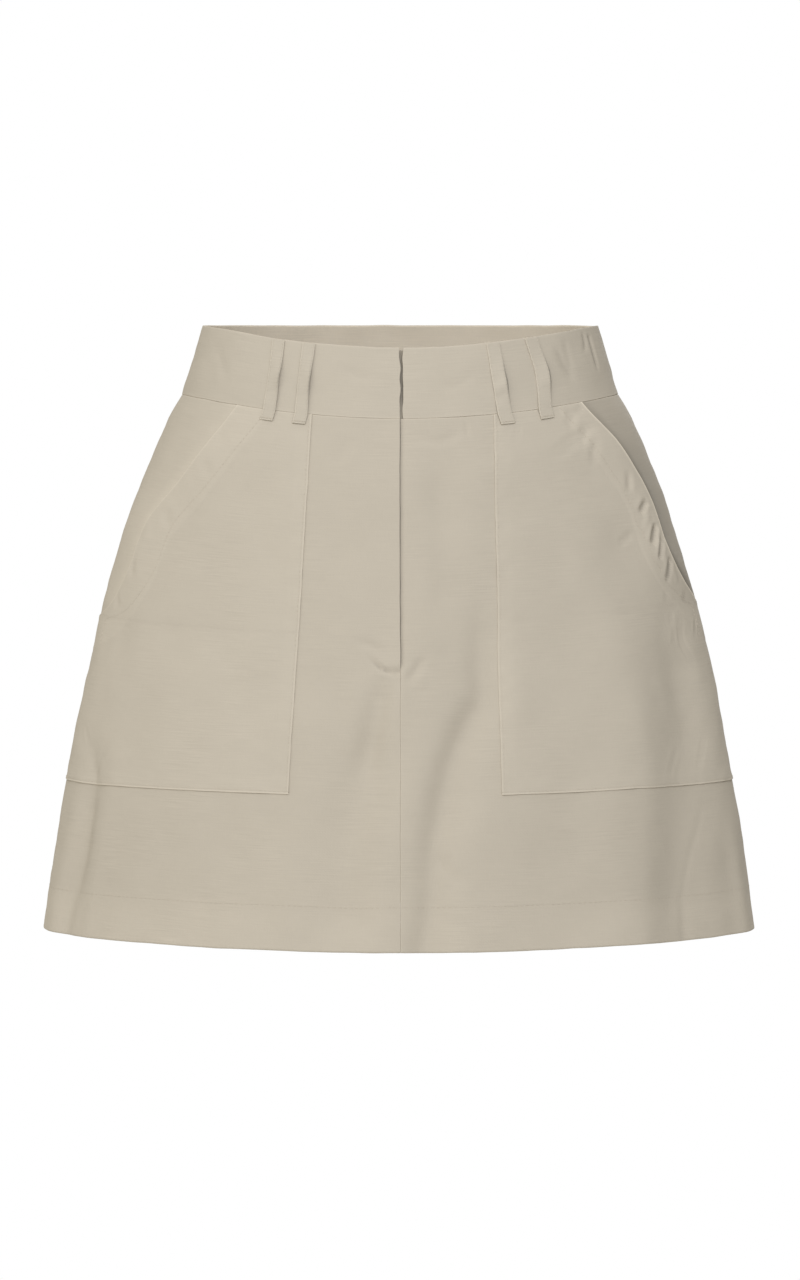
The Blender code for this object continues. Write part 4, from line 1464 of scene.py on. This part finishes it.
class SKORT_OT_pockets(bpy.types.Operator):
    """Make the two patch pockets with their facings and edge stitches"""

    bl_idname = "skort.make_pockets"
    bl_label = "Make pockets"

    def execute(self, context):
        material = cloth_material("pocket_cloth", context.scene.skort_cloth.pocket)
        thread = thread_material(context.scene.skort_cloth.pocket)
        edge = context.scene.skort_sewing.edge
        for place in PLACES.values():
            cut = place.cut
            sheet = pocket_sheet(place)
            inner, outer = ("start", "end") if cut.side > 0 else ("end", "start")
            opening = place.opening_end / -POCKET_BOTTOM
            lines = [
                line_on(sheet, inner, edge, 0.03, 0.985),
                line_on(sheet, "bottom", edge),
                line_on(sheet, outer, cut.facing - 0.0015, 0.02, opening + 0.06),
            ]
            piece = shell(cut.name + "_cloth", sheet, material)
            stitches = sew(cut.name + "_stitches", lines, thread)
            declare_cloth(piece, sheet, cut.name, [stitches])
        return {"FINISHED"}


# ---------------------------------------------------------------- waistband


def band_relief(angle, drop, points, puckers):
    """Lift of the waistband, from that of its puckers and its unevenness."""
    shape = bpy.context.scene.skort_shape
    lift = puckers + BAND_WAVE_SHARE * shape.unevenness * wobble(points, BAND_WAVE_SIZE, 7)
    seam = np.exp(-side_distance(BAND, angle, drop) / BAND_SEAM_WAVE_REACH)
    return lift + shape.seam_pucker * seam * wobble(points, BAND_SEAM_WAVE_SIZE, 8)


def slit_edge(across, seed):
    """Border of the waistband at its slit, a little uneven."""
    def border(drop):
        shift = SLIT_SWAY * wobble(np.stack((drop, drop, drop), -1), SLIT_SWAY_SIZE, seed)
        return (across + shift) / BAND.girth_rate(np.zeros(drop.shape), drop)

    return border


def band_sheet(start, end, grid, behind, origin):
    """Sheet of a waistband panel between two borders."""
    top = -BAND_HEIGHT + RIM
    drops = top + spaced(-SEAM_CLEAR - top, grid[1])
    angle, drop, points = grid_on(BAND, start(drops), end(drops), drops, grid[0])
    puckers = crease_lift(BAND, points, BAND_BACK_CREASES if behind else BAND_FRONT_CREASES, behind)
    lift = band_relief(angle, drop, points, puckers) - BAND_WALL / 2
    sheet = sheet_on(BAND, angle, drop, lift, BAND_WALL, origin)
    sheet.tone -= pucker_shade(BAND_PUCKER_SHARE * puckers)
    # Painted highlights along the top and bottom edges
    sheet.paint_edge_highlights("top", "bottom")
    # Painted light on the band's inner face
    sheet.inner_painted_light = BAND_INSIDE_PAINTED_LIGHT
    return sheet


class SKORT_OT_waistband(bpy.types.Operator):
    """Make the three pieces of the waistband, with the slit at the centre front"""

    bl_idname = "skort.make_waistband"
    bl_label = "Make waistband"

    def execute(self, context):
        material = cloth_material("waistband_cloth", context.scene.skort_cloth.waistband)
        panels = (
            ("waistband_front_right", at_seam(BAND, -QUARTER_TURN, 1),
             slit_edge(BAND_SLIT_RIGHT - RIM, 41), BAND_FRONT_GRID, False, 0.0),
            ("waistband_front_left", slit_edge(BAND_SLIT_LEFT + RIM, 42),
             at_seam(BAND, QUARTER_TURN, -1), BAND_FRONT_GRID, False, 0.0),
            ("waistband_back", at_seam(BAND, QUARTER_TURN, 1),
             at_seam(BAND, 3 * QUARTER_TURN, -1), BAND_BACK_GRID, True, BACK_MIDDLE),
        )
        for node, start, end, grid, behind, origin in panels:
            sheet = band_sheet(start, end, grid, behind, origin)
            piece = shell(node + "_cloth", sheet, material)
            declare_cloth(piece, sheet, node, [])
        return {"FINISHED"}


# ---------------------------------------------------------------- belt loops

# Distance of a loop's stitches from its edges, the rows of its bar tack, and that tack's stitches
LOOP_EDGE = 0.0010
TACK_ROWS = (0.0011, 0.0016)
TACK_LENGTH = 0.0009
TACK_PITCH = 0.0007


def loop_sheet(loop):
    """Sheet of a belt loop, lying over the waistband and lifted in the middle."""
    length = LOOP_DROP - LOOP_TOP - RIM
    drops = LOOP_TOP + spaced(length, LOOP_GRID[1])
    share = (drops - LOOP_TOP) / length
    bends = SmoothTable(((0.0, loop.top), (LOOP_MIDDLE, loop.middle), (1.0, loop.bottom)))
    middle = np.radians(bends(share)[:, 0])
    rate = WHOLE.girth_rate(middle, drops)
    half = (loop.width / 2 - RIM) / rate
    angle, drop, points = grid_on(WHOLE, middle - half, middle + half, drops, LOOP_GRID[0])
    across = (angle - middle[:, None]) / half[:, None] / 2 + 0.5
    arch = np.sin(math.pi * smoothstep(*LOOP_ARCH, share[:, None])) ** LOOP_ARCH_POWER
    lift = LOOP_STAND_OFF + LOOP_WALL / 2 + LOOP_OVER_POCKET * smoothstep(*LOOP_RISE, drop)
    lift += (loop.bulge + loop.tilt * across) * arch
    lift += LOOP_PUCKER * arch * wobble(points, LOOP_PUCKER_SIZE, 50 + int(loop.name[-1]))
    sheet = sheet_on(WHOLE, angle, drop, lift, LOOP_WALL, middle[0])
    sheet.tone *= LOOP_TONE
    # Painted shadow along the loop's raised edge
    inwards = (1 - across) * loop.width / LOOP_EDGE_REACH
    sheet.tone -= LOOP_EDGE_PAINTED_SHADOW * (loop.tilt / 0.001) ** 2 * arch * np.exp(-inwards ** 2)
    # Painted highlights along the loop's flatter edge and its bottom
    sheet.paint_edge_highlights("start", "bottom")
    return sheet


class SKORT_OT_loops(bpy.types.Operator):
    """Make the belt loops with their edge stitches and bar tacks"""

    bl_idname = "skort.make_loops"
    bl_label = "Make belt loops"

    def execute(self, context):
        material = cloth_material("loop_cloth", context.scene.skort_cloth.loop)
        thread = thread_material(context.scene.skort_cloth.loop)
        for loop in LOOPS:
            sheet = loop_sheet(loop)
            piece = shell(loop.name + "_cloth", sheet, material)
            edges = [line_on(sheet, border, LOOP_EDGE, 0.06, 0.97) for border in ("start", "end")]
            tack = [line_on(sheet, "bottom", distance) for distance in TACK_ROWS]
            stitches = [
                sew(loop.name + "_edge_stitches", edges, thread),
                sew(loop.name + "_bar_tack", tack, thread, length=TACK_LENGTH, pitch=TACK_PITCH),
            ]
            declare_cloth(piece, sheet, loop.name, stitches)
        return {"FINISHED"}


# ---------------------------------------------------------------- underlap


def underlap_sheet():
    """Sheet of the strip behind the fly, which lies deeper behind the band and down the skirt."""
    drops = UNDERLAP_TOP + RIM + spaced(UNDERLAP_BOTTOM - UNDERLAP_TOP - 2 * RIM, UNDERLAP_GRID[1])
    rate = WHOLE.girth_rate(np.zeros(drops.shape), drops)
    start = -(UNDERLAP_RIGHT_REACH - RIM) / rate
    end = (UNDERLAP_LEFT_REACH - RIM) / rate
    angle, drop, points = grid_on(WHOLE, start, end, drops, UNDERLAP_GRID[0])
    behind = UNDERLAP_BEHIND + UNDERLAP_DEEPER * smoothstep(*UNDERLAP_DEEPENS, drop)
    behind += UNDERLAP_BAND_DEEPER * smoothstep(*UNDERLAP_BAND_DEEPENS, drop)
    lift = -fold_depth(SKIRT, angle, np.maximum(drop, 0.0)) - behind - UNDERLAP_WALL / 2
    lift += UNDERLAP_WAVES * wobble(points, UNDERLAP_WAVE_SIZE, 61)
    sheet = sheet_on(WHOLE, angle, drop, lift, UNDERLAP_WALL, 0.0)
    # Painted shade on the strip behind the fly
    sheet.tone *= UNDERLAP_PAINTED_SHADE
    return sheet


class SKORT_OT_underlap(bpy.types.Operator):
    """Make the strip of cloth behind the fly"""

    bl_idname = "skort.make_underlap"
    bl_label = "Make fly underlap"

    def execute(self, context):
        material = cloth_material("underlap_cloth", context.scene.skort_cloth.underlap)
        sheet = underlap_sheet()
        piece = shell("fly_underlap_cloth", sheet, material)
        declare_cloth(piece, sheet, "fly_underlap",
                      [])
        return {"FINISHED"}


# ---------------------------------------------------------------- shorts

LEG_TABLE = SmoothTable(SHORTS_SECTIONS)


def leg_points(side, half, turn, drop):
    """Outer face of the shorts.  The turn goes round the leg from its inner to its outer side."""
    centre, half_width, front_depth, back_depth = np.moveaxis(LEG_TABLE(drop), -1, 0)
    depth = front_depth if half == "front" else -back_depth
    dip = 0.0
    if half == "front":
        dip = front_dip(turn - QUARTER_TURN) * np.maximum(0.0, 1 - drop / SHORTS_DIP_REACH)
    across = centre - half_width * np.cos(turn)
    return np.stack((side * across, -depth * np.sin(turn), -drop - dip), -1)


def shorts_sheet(side, half):
    """Sheet of one panel of the shorts."""
    top = SHORTS_TOP + RIM
    drops = top + spaced(SHORTS_LENGTH - RIM - top, SHORTS_GRID[1])
    centre, half_width, front_depth, _ = np.moveaxis(LEG_TABLE(drops), -1, 0)
    first = np.arccos(np.minimum(1.0, (centre - SEAM_CLEAR) / half_width))
    start = np.maximum(first, SEAM_CLEAR / front_depth)
    end = math.pi - SEAM_CLEAR / front_depth
    near = EDGE_LINES / LEG_RADIUS
    inner = np.linspace(0.0, 1.0, SHORTS_GRID[0])
    low, high = start[:, None] + near[-1], end[:, None] - near[-1]
    turn = np.concatenate((
        start[:, None] + near[:-1], low + (high - low) * inner, end[:, None] - near[-2::-1]), axis=1)
    drop = np.broadcast_to(drops[:, None], turn.shape)
    if (side > 0) != (half == "front"):
        turn = turn[:, ::-1]
    points = leg_points(side, half, turn, drop)
    plain = Sheet(points, SHORTS_WALL)
    relief = SHORTS_WAVES * wobble(points, SHORTS_WAVE_SIZE, 71) * smoothstep(0.0, 0.03, drop)
    middle = points + plain.outward * (relief - SHORTS_WALL / 2)[..., None]
    sheet = Sheet(hand_made(middle), SHORTS_WALL)
    hem = SHORTS_LENGTH - SHORTS_HEM
    sheet.tone += SHORTS_HEM_TONE * smoothstep(hem - 0.001, hem + 0.001, drop)
    return sheet


class SKORT_OT_shorts(bpy.types.Operator):
    """Make the four panels of the inner shorts with their hem stitches"""

    bl_idname = "skort.make_shorts"
    bl_label = "Make inner shorts"

    def execute(self, context):
        material = cloth_material("shorts_cloth", context.scene.skort_cloth.shorts)
        thread = thread_material(context.scene.skort_cloth.shorts)
        for side_name, side in (("left", 1), ("right", -1)):
            for half in ("front", "back"):
                node = f"shorts_{half}_{side_name}"
                sheet = shorts_sheet(side, half)
                piece = shell(node + "_cloth", sheet, material)
                lines = [line_on(sheet, "bottom", distance) for distance in SHORTS_HEM_ROWS]
                stitches = sew(node + "_hem_stitches", lines, thread)
                declare_cloth(piece, sheet, node, [stitches])
        return {"FINISHED"}


# ---------------------------------------------------------------- stage


# The even light is warm and the lights are cool, as the photograph's shaded and lit cloth are
WARM = (1.0, 0.975, 0.90)
COOL = (0.90, 0.93, 1.0)
KEY_PLACE = (0.16, -2.68, 1.40)
REAR_PLACE = (0.80, 2.90, 1.10)
LIGHT_AIM = (0.0, 0.0, -0.15)


def add_area_light(name, place, aim, size, power):
    """Large soft light that faces a point."""
    lamp = bpy.data.lights.new(name, "AREA")
    lamp.shape = "SQUARE"
    lamp.size = size
    lamp.energy = power
    lamp.color = COOL
    light = bpy.data.objects.new(name, lamp)
    light.location = place
    light.rotation_euler = (Vector(aim) - Vector(place)).to_track_quat("-Z", "Y").to_euler()
    bpy.context.scene.collection.objects.link(light)


# The even light grows towards this way, and is weaker from the wearer's left
SKY_TILT = (-0.15, 0.0, 0.256)
SKY_SHADE = 0.61
SKY_SHADE_START = 0.42
SKY_SHADE_END = 0.95


def soft_world(strength):
    """White behind everything, and even light of its own strength."""
    world = bpy.data.worlds.new("studio")
    world.use_nodes = True
    make = NodeBuilder(world.node_tree)
    white = make.tree.nodes["Background"]
    make.feed(white, {"Color": (1.0, 1.0, 1.0, 1.0), "Strength": 1.0})
    direction = make.add("ShaderNodeTexCoord").outputs["Generated"]
    tilt = make.add("ShaderNodeVectorMath", {0: direction, 1: Vector(SKY_TILT) * strength},
                    operation="DOT_PRODUCT")
    rise = make.math("ADD", tilt.outputs["Value"], strength)
    parts = make.add("ShaderNodeSeparateXYZ", {0: direction})
    side = make.add("ShaderNodeMapRange", {
        "Value": parts.outputs["X"], "From Min": SKY_SHADE_START, "From Max": SKY_SHADE_END,
        "To Min": 1.0, "To Max": 1.0 - SKY_SHADE}, interpolation_type="SMOOTHSTEP")
    even = make.add("ShaderNodeBackground", {
        "Color": (*WARM, 1.0), "Strength": make.math("MULTIPLY", rise, side.outputs[0])})
    seen = make.add("ShaderNodeLightPath").outputs["Is Camera Ray"]
    mix = make.add("ShaderNodeMixShader", {0: seen, 1: even.outputs[0], 2: white.outputs[0]})
    make.feed(make.tree.nodes["World Output"], {"Surface": mix.outputs[0]})
    bpy.context.scene.world = world


FLOOR_RADIUS = 0.82
FLOOR_FADE = 0.35


def floor_material(colour):
    """Pale floor that fades out towards its edge."""
    make = MaterialBuilder("pale_floor")
    place = make.add("ShaderNodeTexCoord").outputs["Object"]
    parts = make.add("ShaderNodeSeparateXYZ", {0: place})
    out = make.math("SQRT", make.math("ADD", make.math("POWER", parts.outputs[0], 2.0),
                                      make.math("POWER", parts.outputs[1], 2.0)))
    solid = make.add("ShaderNodeMapRange", {
        "Value": out, "From Min": FLOOR_RADIUS, "From Max": FLOOR_RADIUS - FLOOR_FADE},
        interpolation_type="SMOOTHSTEP").outputs[0]
    back = make.add("ShaderNodeNewGeometry").outputs["Backfacing"]
    return make.finish({
        "Base Color": (*colour, 1.0),
        "Roughness": 0.8,
        "Alpha": make.math("MULTIPLY", solid, make.math("SUBTRACT", 1.0, back)),
    })


class SKORT_OT_stage(bpy.types.Operator):
    """Make the pale floor, the soft lights and the camera"""

    bl_idname = "skort.make_stage"
    bl_label = "Make stage"

    def execute(self, context):
        stage = context.scene.skort_stage
        bpy.ops.mesh.primitive_circle_add(
            vertices=96, radius=FLOOR_RADIUS, fill_type="NGON", location=(0.0, 0.0, stage.floor_level))
        floor = context.object
        floor.name = "floor"
        floor.data.materials.append(floor_material(stage.floor_colour))
        add_area_light("key", KEY_PLACE, LIGHT_AIM, 1.4, stage.key_power)
        add_area_light("rear", REAR_PLACE, LIGHT_AIM, 1.6, stage.rear_power)
        soft_world(stage.fill)
        camera_data = bpy.data.cameras.new("camera")
        camera_data.sensor_width = SENSOR
        camera_data.lens = SENSOR * FOCAL_PIXELS / FRAME_PIXELS
        camera = bpy.data.objects.new("camera", camera_data)
        camera.location = CAMERA_PLACE
        direction = Vector(CAMERA_AIM) - Vector(CAMERA_PLACE)
        camera.rotation_euler = direction.to_track_quat("-Z", "Y").to_euler()
        context.scene.collection.objects.link(camera)
        context.scene.camera = camera
        context.scene.view_settings.view_transform = "Standard"
        return {"FINISHED"}


# ---------------------------------------------------------------- panel and running


class SKORT_PT_panel(bpy.types.Panel):
    """Sizes and steps of the skort"""

    bl_label = "A-line skort"
    bl_idname = "SKORT_PT_panel"
    bl_space_type = "VIEW_3D"
    bl_region_type = "UI"
    bl_category = "Skort"

    def draw(self, context):
        for name, group in SETTINGS:
            box = self.layout.box()
            settings = getattr(context.scene, name)
            for entry in group.__annotations__:
                box.prop(settings, entry)
        for step in STEPS:
            self.layout.operator(step.bl_idname)


SETTINGS = (
    ("skort_cloth", SkortClothSettings),
    ("skort_shape", SkortShapeSettings),
    ("skort_sewing", SkortSewingSettings),
    ("skort_stage", SkortStageSettings),
)
STEPS = (SKORT_OT_stage, SKORT_OT_skirt, SKORT_OT_pockets, SKORT_OT_waistband, SKORT_OT_loops,
         SKORT_OT_underlap, SKORT_OT_shorts)


def register():
    """Registers the settings, the steps and the panel."""
    for name, group in SETTINGS:
        bpy.utils.register_class(group)
        setattr(bpy.types.Scene, name, PointerProperty(type=group))
    for step in STEPS:
        bpy.utils.register_class(step)
    bpy.utils.register_class(SKORT_PT_panel)


def unregister():
    """Removes what register added."""
    bpy.utils.unregister_class(SKORT_PT_panel)
    for step in reversed(STEPS):
        bpy.utils.unregister_class(step)
    for name, group in reversed(SETTINGS):
        delattr(bpy.types.Scene, name)
        bpy.utils.unregister_class(group)


def main():
    """Builds the scene."""
    register()
    bpy.ops.skort.make_stage()
    bpy.ops.skort.make_skirt()
    bpy.ops.skort.make_pockets()
    bpy.ops.skort.make_waistband()
    bpy.ops.skort.make_loops()
    bpy.ops.skort.make_underlap()
    bpy.ops.skort.make_shorts()


if __name__ == "__main__":
    main()
